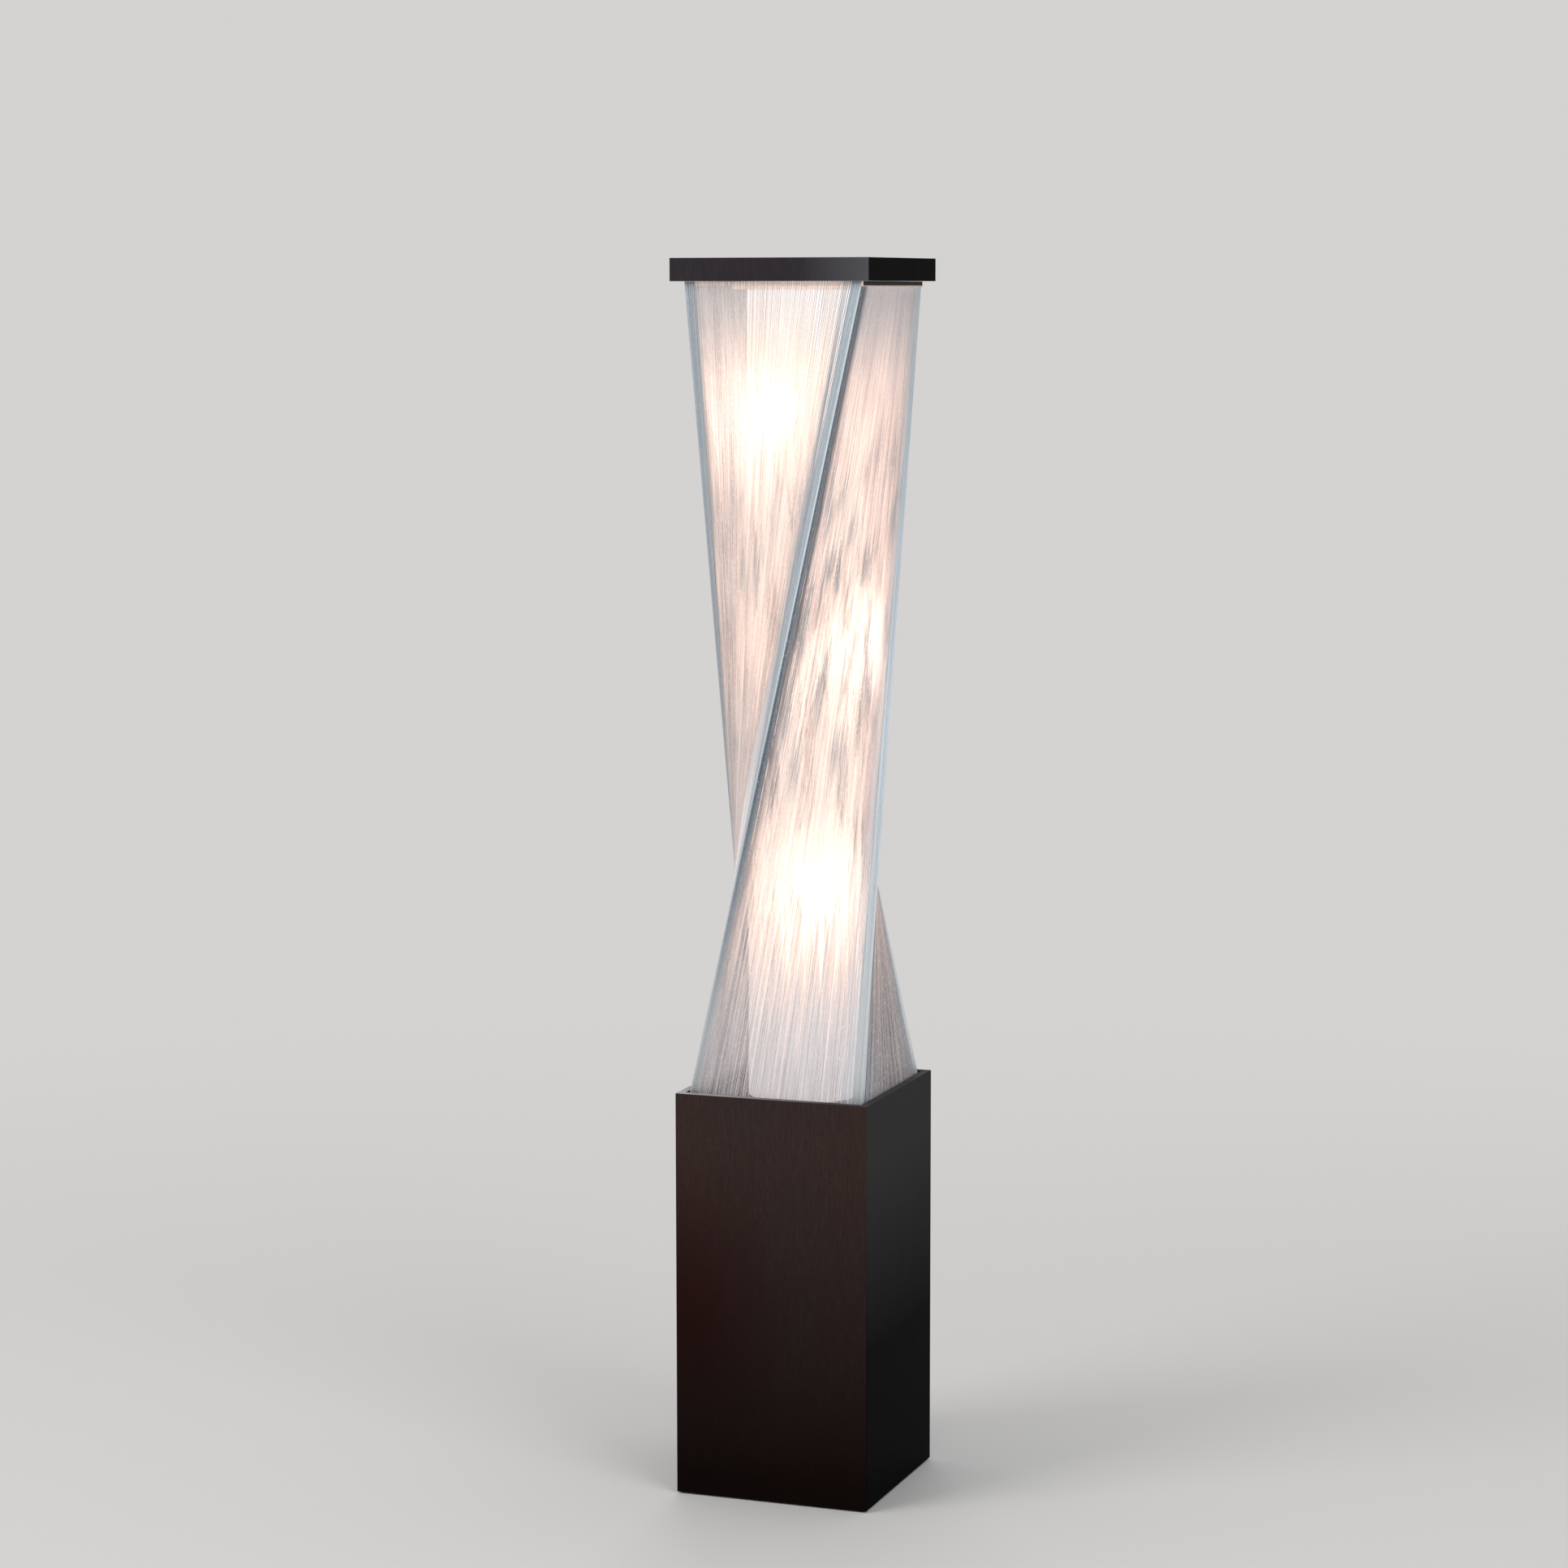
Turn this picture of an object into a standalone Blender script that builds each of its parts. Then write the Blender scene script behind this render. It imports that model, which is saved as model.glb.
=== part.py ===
"""A square floor lamp: a tall open box for a base, a column of strings twisted by a quarter turn, and a flat cap.

Metres, +Z up. The origin is at the bottom centre of the base, which faces -Y. The column's four walls are
straight strings, so each wall is ruled between one side of the lower plate and the next side of the top plate.
"""

import math

import bmesh
import bpy
from mathutils import Vector

# Clearance that every seated or cut piece keeps to its neighbour
FIT_GAP = 0.0003
# How far a cutter runs past the faces that it opens
CUT_OVERRUN = 0.002

# The whole lamp
LAMP_HEIGHT = 1.530
CORNERS = 4
QUARTER_TURN = math.pi / 2

# Base box
BASE_SIDE = 0.250
BASE_TOP = 0.508
PANEL_THICKNESS = 0.010
WALL_LIFT = 0.002
FOOT_RADIUS = 0.012
FOOT_HEIGHT = 0.008
FOOT_INSET = 0.030
FOOT_SIDES = 20
FLOOR_THICKNESS = 0.012
BLOCK_SIDE = 0.022
BALLAST_THICKNESS = 0.020
BALLAST_CLEARANCE = 0.003

# Cord inlet at the back
GLAND_HEIGHT = 0.058
GLAND_BARREL_RADIUS = 0.0060
GLAND_BORE_RADIUS = 0.0036
GLAND_FLANGE_RADIUS = 0.0095
GLAND_FLANGE_THICKNESS = 0.0015
GLAND_NUT_WIDTH = 0.017
GLAND_NUT_THICKNESS = 0.004
GLAND_THREAD_LENGTH = 0.006

# Lower string plate and its screws
SEAT_DEPTH = 0.014
LOWER_PLATE_THICKNESS = 0.008
LOWER_PLATE_CLEARANCE = 0.001
SCREW_RADIUS = 0.0018
SCREW_LENGTH = 0.026
SCREW_HEAD_RADIUS = 0.0040
SCREW_HEAD_HEIGHT = 0.0024
SCREW_SIDES = 12

# String column
STRING_CLEARANCE = 0.0015
STRING_THICKNESS = 0.003
RIB_COUNT = 28
RIB_DEPTH = 0.0008
INNER_STRIPS = 14
CORNER_BAND = 0.011
COLUMN_STEPS = 7

# Cap, top string plate and cross bar
CAP_PROUD = 0.002
CAP_THICKNESS = 0.028
CAP_OVERHANG = 0.014
CAP_BEVEL = 0.0006
TOP_PLATE_LIP = 0.001
TOP_PLATE_THICKNESS = 0.005
TOP_OPENING_CLEARANCE = 0.0045
CROSS_BAR_THICKNESS = 0.004
CROSS_BAR_WIDTH = 0.024
CROSS_BAR_OVERLAP = 0.015
LOCATOR_CLEARANCE = 0.001
LOCATOR_THICKNESS = 0.004
LOCATOR_WIDTH = 0.012

# Centre pole and its nuts
POLE_RADIUS = 0.005
POLE_BORE_RADIUS = 0.0035
POLE_TAIL = 0.012
POLE_HEAD = 0.0043
POLE_SIDES = 20
NUT_WIDTH = 0.014
NUT_THICKNESS = 0.004
TOP_NUT_THICKNESS = 0.003
NUT_BORE_SIDES = 16
HEX_SIDES = 6

# Diffuser tube and the disc that it stands round
DIFFUSER_CLEARANCE = 0.0066
DIFFUSER_WALL = 0.0015
DIFFUSER_SIDES = 36
SEAT_DISC_THICKNESS = 0.006

# Bulbs, sockets and arms
BULB_CLIMB_SHARES = {"bottom": 0.265, "middle": 0.5595, "top": 0.854}
BULB_POLE_CLEARANCE = 0.004
BULB_TUBE_CLEARANCE = 0.006
BULB_NECK_RADIUS = 0.0125
BULB_NECK_LENGTH = 0.015
BULB_GLASS = 0.001
BULB_SHOULDER = math.radians(-50)
BULB_ARC_STEPS = 8
BULB_SIDES = 20
SCREW_CAP_LENGTH = 0.0263
CAP_TIP_RADIUS = 0.005
CAP_TIP_HEIGHT = 0.0015
CAP_CONE_HEIGHT = 0.0035
CAP_ROOT_RADIUS = 0.0121
CAP_CREST_RADIUS = 0.0129
THREAD_PITCH = 0.00363
THREAD_TURNS = 4
CAP_SIDES = 16
SOCKET_WALL = 0.0042
SOCKET_BORE_CLEARANCE = 0.0009
SOCKET_RIM_GAP = 0.0008
SOCKET_FLOOR = 0.008
SOCKET_STUB_RADIUS = 0.0049
SOCKET_STUB_LENGTH = 0.006
SOCKET_SIDES = 20
ARM_WIDTH = 0.018
ARM_THICKNESS = 0.003
ARM_END_STEPS = 6

# Places and heights that follow from the sizes above
BASE_INNER = BASE_SIDE - 2 * PANEL_THICKNESS
FLOOR_BOTTOM = FOOT_HEIGHT + FIT_GAP
FLOOR_TOP = FLOOR_BOTTOM + FLOOR_THICKNESS
BALLAST_BOTTOM = FLOOR_TOP + FIT_GAP
BALLAST_TOP = BALLAST_BOTTOM + BALLAST_THICKNESS
BALLAST_SIDE = BASE_INNER - 2 * (BLOCK_SIDE + BALLAST_CLEARANCE)
LOWER_PLATE_TOP = BASE_TOP - SEAT_DEPTH
LOWER_PLATE_BOTTOM = LOWER_PLATE_TOP - LOWER_PLATE_THICKNESS
LOWER_PLATE_SIDE = BASE_INNER - 2 * LOWER_PLATE_CLEARANCE
STRING_BOTTOM_SIDE = BASE_INNER - 2 * STRING_CLEARANCE
CAP_SIDE = BASE_SIDE + 2 * CAP_PROUD
STRING_TOP_SIDE = CAP_SIDE - 2 * CAP_OVERHANG
WAIST_RADIUS = (STRING_BOTTOM_SIDE + STRING_TOP_SIDE) / (4 * math.sqrt(2)) - STRING_THICKNESS
DIFFUSER_RADIUS = WAIST_RADIUS - DIFFUSER_CLEARANCE
TOP_OPENING = 2 * (DIFFUSER_RADIUS + TOP_OPENING_CLEARANCE)
BLOCK_PLACE = BASE_INNER / 2 - FIT_GAP - BLOCK_SIDE / 2
BLOCK_TOP = LOWER_PLATE_BOTTOM - FIT_GAP
CAP_BOTTOM = LAMP_HEIGHT - CAP_THICKNESS
TOP_PLATE_TOP = CAP_BOTTOM - FIT_GAP
TOP_PLATE_BOTTOM = TOP_PLATE_TOP - TOP_PLATE_THICKNESS
STRING_BOTTOM = LOWER_PLATE_TOP + FIT_GAP
STRING_TOP = TOP_PLATE_BOTTOM - FIT_GAP
CROSS_BAR_TOP = TOP_PLATE_BOTTOM - FIT_GAP
CROSS_BAR_BOTTOM = CROSS_BAR_TOP - CROSS_BAR_THICKNESS
CROSS_BAR_LENGTH = TOP_OPENING + 2 * CROSS_BAR_OVERLAP
POLE_BOTTOM = LOWER_PLATE_BOTTOM - POLE_TAIL
POLE_TOP = CROSS_BAR_TOP + POLE_HEAD
POLE_HOLE_RADIUS = POLE_RADIUS + FIT_GAP
DIFFUSER_BOTTOM = LOWER_PLATE_TOP + FIT_GAP
DIFFUSER_TOP = CROSS_BAR_BOTTOM - FIT_GAP
SEAT_DISC_TOP = DIFFUSER_BOTTOM + SEAT_DISC_THICKNESS
BULB_SPACE = DIFFUSER_RADIUS - DIFFUSER_WALL - POLE_RADIUS
BULB_RADIUS = (BULB_SPACE - BULB_POLE_CLEARANCE - BULB_TUBE_CLEARANCE) / 2
BULB_OFFSET = POLE_RADIUS + BULB_POLE_CLEARANCE + BULB_RADIUS
BULB_NECK_DROP = BULB_NECK_LENGTH - BULB_RADIUS * math.sin(BULB_SHOULDER)
CAP_TIP_DROP = BULB_NECK_DROP + SCREW_CAP_LENGTH
SOCKET_BORE_RADIUS = CAP_CREST_RADIUS + SOCKET_BORE_CLEARANCE
SOCKET_RADIUS = SOCKET_BORE_RADIUS + SOCKET_WALL


def clear_scene():
    for old in list(bpy.data.objects):
        bpy.data.objects.remove(old)


def material(name, colour, roughness, metallic=0.0, alpha=1.0, glow=None):
    made = bpy.data.materials.new(name)
    made.use_nodes = True
    made.diffuse_color = (*colour, alpha)
    shader = made.node_tree.nodes["Principled BSDF"]
    shader.inputs["Base Color"].default_value = (*colour, 1.0)
    shader.inputs["Roughness"].default_value = roughness
    shader.inputs["Metallic"].default_value = metallic
    shader.inputs["Alpha"].default_value = alpha
    if glow:
        shader.inputs["Emission Color"].default_value = (*glow, 1.0)
        shader.inputs["Emission Strength"].default_value = 1.0
    return made


def group(name, location=(0, 0, 0), turn=0.0):
    """An empty that carries the pieces of one sub-assembly."""
    empty = bpy.data.objects.new(name, None)
    empty.location = location
    empty.rotation_euler = (0, 0, turn)
    bpy.context.scene.collection.objects.link(empty)
    return empty


def add(name, form, finish, location=(0, 0, 0), turn=0.0, parent=None, smooth=False):
    """Turns a bmesh into a named object with its own copy of a finish."""
    mesh = bpy.data.meshes.new(name)
    bmesh.ops.recalc_face_normals(form, faces=form.faces)
    form.to_mesh(mesh)
    form.free()
    made = bpy.data.objects.new(name, mesh)
    own_finish = finish.copy()
    own_finish.name = name + "_finish"
    mesh.materials.append(own_finish)
    made.location = location
    made.rotation_euler = (0, 0, turn)
    made.parent = parent
    bpy.context.scene.collection.objects.link(made)
    if smooth:
        mesh.shade_smooth()
        mesh.set_sharp_from_angle(angle=math.radians(35))
    return made


def prism(outline, low, high):
    """A plan outline, walked round once, raised from low to high."""
    form = bmesh.new()
    bottom = [form.verts.new((x, y, low)) for x, y in outline]
    top = [form.verts.new((x, y, high)) for x, y in outline]
    form.faces.new(bottom)
    form.faces.new(top)
    for i in range(len(outline)):
        j = (i + 1) % len(outline)
        form.faces.new((bottom[i], bottom[j], top[j], top[i]))
    return form


def box(length, depth, low, high):
    """A block centred on the Z axis."""
    x = length / 2
    y = depth / 2
    return prism([(-x, -y), (x, -y), (x, y), (-x, y)], low, high)


def circle(radius, sides):
    steps = [2 * math.pi * i / sides for i in range(sides)]
    return [(radius * math.cos(a), radius * math.sin(a)) for a in steps]


def turned(profile, sides, hollow=False):
    """A profile of (radius, height) points turned about Z.

    A solid profile runs from the axis to the axis. A hollow one is a closed loop that stays off the axis.
    """
    form = bmesh.new()
    rings = []
    for radius, height in profile:
        if radius == 0:
            rings.append([form.verts.new((0, 0, height))])
        else:
            rings.append([form.verts.new((x, y, height)) for x, y in circle(radius, sides)])
    last = len(rings) if hollow else len(rings) - 1
    for i in range(last):
        low = rings[i]
        high = rings[(i + 1) % len(rings)]
        for k in range(sides):
            n = (k + 1) % sides
            corners = [low[k % len(low)], low[n % len(low)], high[n % len(high)], high[k % len(high)]]
            form.faces.new(list(dict.fromkeys(corners)))
    return form


def ring(outer, inner, low, high, sides):
    return turned([(outer, low), (outer, high), (inner, high), (inner, low)], sides, hollow=True)


def cut(piece, form, name, location=(0, 0, 0), turn=(0, 0, 0)):
    """Takes a cutter's form out of a piece with an exact Boolean."""
    mesh = bpy.data.meshes.new(name)
    bmesh.ops.recalc_face_normals(form, faces=form.faces)
    form.to_mesh(mesh)
    form.free()
    cutter = bpy.data.objects.new(name, mesh)
    cutter.location = location
    cutter.rotation_euler = turn
    cutter.hide_render = True
    cutter.display_type = "WIRE"
    bpy.context.scene.collection.objects.link(cutter)
    boolean = piece.modifiers.new(name, "BOOLEAN")
    boolean.operation = "DIFFERENCE"
    boolean.solver = "EXACT"
    boolean.object = cutter


def round_cut(piece, name, radius, low, high, sides, x=0.0, y=0.0):
    form = prism(circle(radius, sides), low - CUT_OVERRUN, high + CUT_OVERRUN)
    cut(piece, form, name, location=(x, y, 0))


def nut(name, width, thickness, bore, low, finish, location=(0, 0, 0), parent=None):
    """A hexagonal nut whose hole is cut clear of its thread."""
    outline = circle(width / math.sqrt(3), HEX_SIDES)
    outer = bmesh.new()
    low_ring = [outer.verts.new((x, y, low)) for x, y in outline]
    high_ring = [outer.verts.new((x, y, low + thickness)) for x, y in outline]
    holes = []
    for height in (low, low + thickness):
        holes.append([outer.verts.new((x, y, height)) for x, y in circle(bore, NUT_BORE_SIDES)])
    for i in range(HEX_SIDES):
        j = (i + 1) % HEX_SIDES
        outer.faces.new((low_ring[i], low_ring[j], high_ring[j], high_ring[i]))
    for i in range(NUT_BORE_SIDES):
        j = (i + 1) % NUT_BORE_SIDES
        outer.faces.new((holes[0][i], holes[1][i], holes[1][j], holes[0][j]))
    for rim, hole in ((low_ring, holes[0]), (high_ring, holes[1])):
        edges = []
        for loop in (rim, hole):
            for i in range(len(loop)):
                edges.append(outer.edges.get((loop[i], loop[(i + 1) % len(loop)])))
        bmesh.ops.triangle_fill(outer, use_beauty=True, edges=edges)
    return add(name, outer, finish, location=location, parent=parent)


def corner_names():
    """The base's corners, walked round anticlockwise from front left."""
    return ("front_left", "front_right", "back_right", "back_left")


def corner_place(index, side):
    """One corner of a square plan."""
    angle = -3 * math.pi / 4 + index * QUARTER_TURN
    reach = side / math.sqrt(2)
    return Vector((reach * math.cos(angle), reach * math.sin(angle)))


def build_base(finishes):
    carrier = group("base_carrier")
    panel_names = ("front_panel", "right_panel", "back_panel", "left_panel")
    outer = BASE_SIDE / 2
    inner = BASE_INNER / 2
    mitre = FIT_GAP / math.sqrt(2)
    outline = [
        (-outer + mitre, -outer),
        (outer - mitre, -outer),
        (inner - mitre, -inner),
        (-inner + mitre, -inner),
    ]
    panels = {}
    for i, name in enumerate(panel_names):
        form = prism(outline, WALL_LIFT, BASE_TOP)
        panels[name] = add("base_" + name, form, finishes["lacquer"], turn=i * QUARTER_TURN, parent=carrier)
    hole = prism(circle(GLAND_BARREL_RADIUS + FIT_GAP, NUT_BORE_SIDES), -PANEL_THICKNESS, PANEL_THICKNESS)
    cut(
        panels["back_panel"],
        hole,
        "gland_hole",
        location=(0, outer - PANEL_THICKNESS / 2, GLAND_HEIGHT),
        turn=(QUARTER_TURN, 0, 0),
    )
    board_side = BASE_INNER - 2 * FIT_GAP
    add("base_floor_board", box(board_side, board_side, FLOOR_BOTTOM, FLOOR_TOP), finishes["board"], parent=carrier)
    ballast = box(BALLAST_SIDE, BALLAST_SIDE, BALLAST_BOTTOM, BALLAST_TOP)
    add("ballast_plate", ballast, finishes["iron"], parent=carrier)
    foot_side = BASE_SIDE - 2 * FOOT_INSET
    for i, corner in enumerate(corner_names()):
        place = corner_place(i, foot_side)
        foot = prism(circle(FOOT_RADIUS, FOOT_SIDES), 0, FOOT_HEIGHT)
        add("foot_" + corner, foot, finishes["rubber"], location=(place.x, place.y, 0), parent=carrier)
        place = corner_place(i, 2 * BLOCK_PLACE)
        block_form = box(BLOCK_SIDE, BLOCK_SIDE, FLOOR_TOP + FIT_GAP, BLOCK_TOP)
        block = add(
            "corner_block_" + corner, block_form, finishes["board"], location=(place.x, place.y, 0), parent=carrier
        )
        screw_tip = LOWER_PLATE_TOP - SCREW_LENGTH
        pilot = prism(
            circle(SCREW_RADIUS + FIT_GAP, SCREW_SIDES),
            screw_tip - FIT_GAP,
            BLOCK_TOP + CUT_OVERRUN,
        )
        cut(block, pilot, "pilot_hole_" + corner, location=(place.x, place.y, 0))


def build_inlet(finishes):
    carrier = group("inlet_carrier", location=(0, BASE_SIDE / 2, GLAND_HEIGHT))
    barrel_end = -PANEL_THICKNESS - GLAND_THREAD_LENGTH
    flange_low = FIT_GAP
    flange_high = FIT_GAP + GLAND_FLANGE_THICKNESS
    profile = [
        (GLAND_BARREL_RADIUS, barrel_end),
        (GLAND_BARREL_RADIUS, flange_low),
        (GLAND_FLANGE_RADIUS, flange_low),
        (GLAND_FLANGE_RADIUS, flange_high),
        (GLAND_BORE_RADIUS, flange_high),
        (GLAND_BORE_RADIUS, barrel_end),
    ]
    gland = add("cord_inlet_gland", turned(profile, NUT_BORE_SIDES, hollow=True), finishes["black_plastic"])
    gland.parent = carrier
    gland.rotation_euler = (-QUARTER_TURN, 0, 0)
    lock_nut = nut(
        "cord_inlet_nut",
        GLAND_NUT_WIDTH,
        GLAND_NUT_THICKNESS,
        GLAND_BARREL_RADIUS + FIT_GAP,
        -PANEL_THICKNESS - FIT_GAP - GLAND_NUT_THICKNESS,
        finishes["black_plastic"],
        parent=carrier,
    )
    lock_nut.rotation_euler = (-QUARTER_TURN, 0, 0)


def build_lower_plate(finishes):
    plate = box(LOWER_PLATE_SIDE, LOWER_PLATE_SIDE, LOWER_PLATE_BOTTOM, LOWER_PLATE_TOP)
    plate = add("lower_string_plate", plate, finishes["steel"])
    round_cut(
        plate, "lower_pole_hole", POLE_HOLE_RADIUS, LOWER_PLATE_BOTTOM, LOWER_PLATE_TOP, POLE_SIDES
    )
    head_low = LOWER_PLATE_TOP + FIT_GAP
    profile = [
        (0, LOWER_PLATE_TOP - SCREW_LENGTH),
        (SCREW_RADIUS, LOWER_PLATE_TOP - SCREW_LENGTH + SCREW_RADIUS),
        (SCREW_RADIUS, head_low),
        (SCREW_HEAD_RADIUS, head_low),
        (SCREW_HEAD_RADIUS, head_low + SCREW_HEAD_HEIGHT / 2),
        (SCREW_HEAD_RADIUS / 2, head_low + SCREW_HEAD_HEIGHT),
        (0, head_low + SCREW_HEAD_HEIGHT),
    ]
    for i, corner in enumerate(corner_names()):
        place = corner_place(i, 2 * BLOCK_PLACE)
        round_cut(
            plate,
            "plate_screw_hole_" + corner,
            SCREW_RADIUS + FIT_GAP,
            LOWER_PLATE_BOTTOM,
            LOWER_PLATE_TOP,
            SCREW_SIDES,
            place.x,
            place.y,
        )
        screw = turned(profile, SCREW_SIDES)
        add("plate_screw_" + corner, screw, finishes["zinc"], location=(place.x, place.y, 0))


def build_pole(finishes):
    add(
        "centre_pole",
        ring(POLE_RADIUS, POLE_BORE_RADIUS, POLE_BOTTOM, POLE_TOP, POLE_SIDES),
        finishes["zinc"],
        smooth=True,
    )
    seats = (
        ("pole_nut_bottom", LOWER_PLATE_BOTTOM - FIT_GAP - NUT_THICKNESS, NUT_THICKNESS),
        ("pole_nut_seat", SEAT_DISC_TOP + FIT_GAP, NUT_THICKNESS),
        ("pole_nut_under_bar", CROSS_BAR_BOTTOM - FIT_GAP - NUT_THICKNESS, NUT_THICKNESS),
        ("pole_nut_top", CROSS_BAR_TOP + FIT_GAP, TOP_NUT_THICKNESS),
    )
    for name, low, thickness in seats:
        nut(name, NUT_WIDTH, thickness, POLE_HOLE_RADIUS, low, finishes["zinc"])


def build_diffuser(finishes):
    tube = ring(DIFFUSER_RADIUS, DIFFUSER_RADIUS - DIFFUSER_WALL, DIFFUSER_BOTTOM, DIFFUSER_TOP, DIFFUSER_SIDES)
    add("diffuser_tube", tube, finishes["frosted"], smooth=True)
    disc_radius = (DIFFUSER_RADIUS - DIFFUSER_WALL) * math.cos(math.pi / DIFFUSER_SIDES) - FIT_GAP
    disc = ring(disc_radius, POLE_HOLE_RADIUS, DIFFUSER_BOTTOM, SEAT_DISC_TOP, DIFFUSER_SIDES)
    add("diffuser_seat_disc", disc, finishes["white_board"])


def arm_outline():
    """A bar with round ends, from the pole to a socket on its +X side."""
    radius = ARM_WIDTH / 2
    points = []
    for i in range(ARM_END_STEPS + 1):
        angle = -math.pi / 2 + math.pi * i / ARM_END_STEPS
        points.append((BULB_OFFSET + radius * math.cos(angle), radius * math.sin(angle)))
    for i in range(ARM_END_STEPS + 1):
        angle = math.pi / 2 + math.pi * i / ARM_END_STEPS
        points.append((radius * math.cos(angle), radius * math.sin(angle)))
    return points


def bulb_outline(inset):
    """One skin of the glass, from its neck up round the globe to the top, about the globe's centre."""
    points = [(BULB_NECK_RADIUS - inset, -BULB_NECK_DROP)]
    reach = BULB_RADIUS - inset
    for i in range(BULB_ARC_STEPS + 1):
        angle = BULB_SHOULDER + (math.pi / 2 - BULB_SHOULDER) * i / BULB_ARC_STEPS
        radius = reach * math.cos(angle) if i < BULB_ARC_STEPS else 0
        points.append((radius, reach * math.sin(angle)))
    return points


def bulb_profile():
    """The glass shell, down its inside to the open neck and up its outside."""
    return bulb_outline(BULB_GLASS)[::-1] + bulb_outline(0)


def screw_cap_profile():
    """The metal cap, from its contact tip up over the thread to the glass."""
    tip = -CAP_TIP_DROP
    top = -BULB_NECK_DROP - FIT_GAP
    cone_top = tip + CAP_TIP_HEIGHT + CAP_CONE_HEIGHT
    points = [(0, tip), (CAP_TIP_RADIUS, tip), (CAP_TIP_RADIUS, tip + CAP_TIP_HEIGHT), (CAP_ROOT_RADIUS, cone_top)]
    for i in range(THREAD_TURNS):
        points.append((CAP_CREST_RADIUS, cone_top + THREAD_PITCH * (i + 1 / 2)))
        points.append((CAP_ROOT_RADIUS, cone_top + THREAD_PITCH * (i + 1)))
    points += [(CAP_ROOT_RADIUS, top), (0, top)]
    return points


def socket_profile():
    """A cup for the screw cap, with a stub below it, about the globe's centre."""
    bottom = -CAP_TIP_DROP - FIT_GAP - SOCKET_FLOOR
    rim = -BULB_NECK_DROP - SOCKET_RIM_GAP
    return [
        (0, bottom - SOCKET_STUB_LENGTH),
        (SOCKET_STUB_RADIUS, bottom - SOCKET_STUB_LENGTH),
        (SOCKET_STUB_RADIUS, bottom),
        (SOCKET_RADIUS, bottom),
        (SOCKET_RADIUS, rim),
        (SOCKET_BORE_RADIUS, rim),
        (SOCKET_BORE_RADIUS, bottom + SOCKET_FLOOR),
        (0, bottom + SOCKET_FLOOR),
    ]


def build_light(name, direction, finishes):
    """One arm on the pole with its nuts, socket and bulb, on one side of the pole."""
    height = STRING_BOTTOM + (STRING_TOP - STRING_BOTTOM) * BULB_CLIMB_SHARES[name]
    angle = math.radians(direction)
    arm_top = height - CAP_TIP_DROP - FIT_GAP - SOCKET_FLOOR - FIT_GAP
    arm_bottom = arm_top - ARM_THICKNESS
    arm_group = group("light_carrier_" + name, turn=angle)
    arm = add("socket_arm_" + name, prism(arm_outline(), arm_bottom, arm_top), finishes["zinc"], parent=arm_group)
    pole_hole = prism(circle(POLE_HOLE_RADIUS, POLE_SIDES), arm_bottom - CUT_OVERRUN, arm_top + CUT_OVERRUN)
    cut(arm, pole_hole, "arm_pole_hole_" + name)
    x = BULB_OFFSET * math.cos(angle)
    y = BULB_OFFSET * math.sin(angle)
    round_cut(arm, "arm_stub_hole_" + name, SOCKET_STUB_RADIUS + FIT_GAP, arm_bottom, arm_top, POLE_SIDES, x, y)
    nut_below = arm_bottom - FIT_GAP - NUT_THICKNESS
    nut_above = arm_top + FIT_GAP
    nut("arm_nut_below_" + name, NUT_WIDTH, NUT_THICKNESS, POLE_HOLE_RADIUS, nut_below, finishes["zinc"])
    nut("arm_nut_above_" + name, NUT_WIDTH, NUT_THICKNESS, POLE_HOLE_RADIUS, nut_above, finishes["zinc"])
    axis = group("bulb_axis_" + name, location=(x, y, height))
    add("socket_" + name, turned(socket_profile(), SOCKET_SIDES), finishes["porcelain"], parent=axis, smooth=True)
    add("screw_cap_" + name, turned(screw_cap_profile(), CAP_SIDES), finishes["brass"], parent=axis, smooth=True)
    add("bulb_glass_" + name, turned(bulb_profile(), BULB_SIDES), finishes["bulb"], parent=axis, smooth=True)


def column_point(index, share, climb, inset):
    """A point of the column's wall.

    The wall starts on one side of the lower square, at share of the way from corner index to the next corner,
    and climbs straight to the next side of the top square. Inset is measured from the outer face.
    """
    bottom_side = STRING_BOTTOM_SIDE - 2 * inset
    top_side = STRING_TOP_SIDE - 2 * inset
    low = corner_place(index, bottom_side).lerp(corner_place(index + 1, bottom_side), share)
    high = corner_place(index + 1, top_side).lerp(corner_place(index + 2, top_side), share)
    place = low.lerp(high, climb)
    return Vector((place.x, place.y, STRING_BOTTOM + (STRING_TOP - STRING_BOTTOM) * climb))


def loft(section, steps):
    """Joins a closed section, given by a function of the climb, from the bottom to the top of the column."""
    form = bmesh.new()
    rings = []
    for i in range(steps + 1):
        rings.append([form.verts.new(p) for p in section(i / steps)])
    form.faces.new(rings[0])
    form.faces.new(rings[-1])
    for low, high in zip(rings, rings[1:]):
        for k in range(len(low)):
            n = (k + 1) % len(low)
            form.faces.new((low[k], low[n], high[n], high[k]))
    return form


def wall_section(index):
    """A ribbed outer face and a plain inner face, between the corner bands."""
    band_share = (CORNER_BAND + FIT_GAP) / STRING_BOTTOM_SIDE

    def section(climb):
        points = []
        for i in range(2 * RIB_COUNT + 1):
            share = band_share + (1 - 2 * band_share) * i / (2 * RIB_COUNT)
            points.append(column_point(index, share, climb, RIB_DEPTH * (i % 2)))
        for i in range(INNER_STRIPS + 1):
            share = 1 - band_share - (1 - 2 * band_share) * i / INNER_STRIPS
            points.append(column_point(index, share, climb, STRING_THICKNESS))
        return points

    return section


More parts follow.
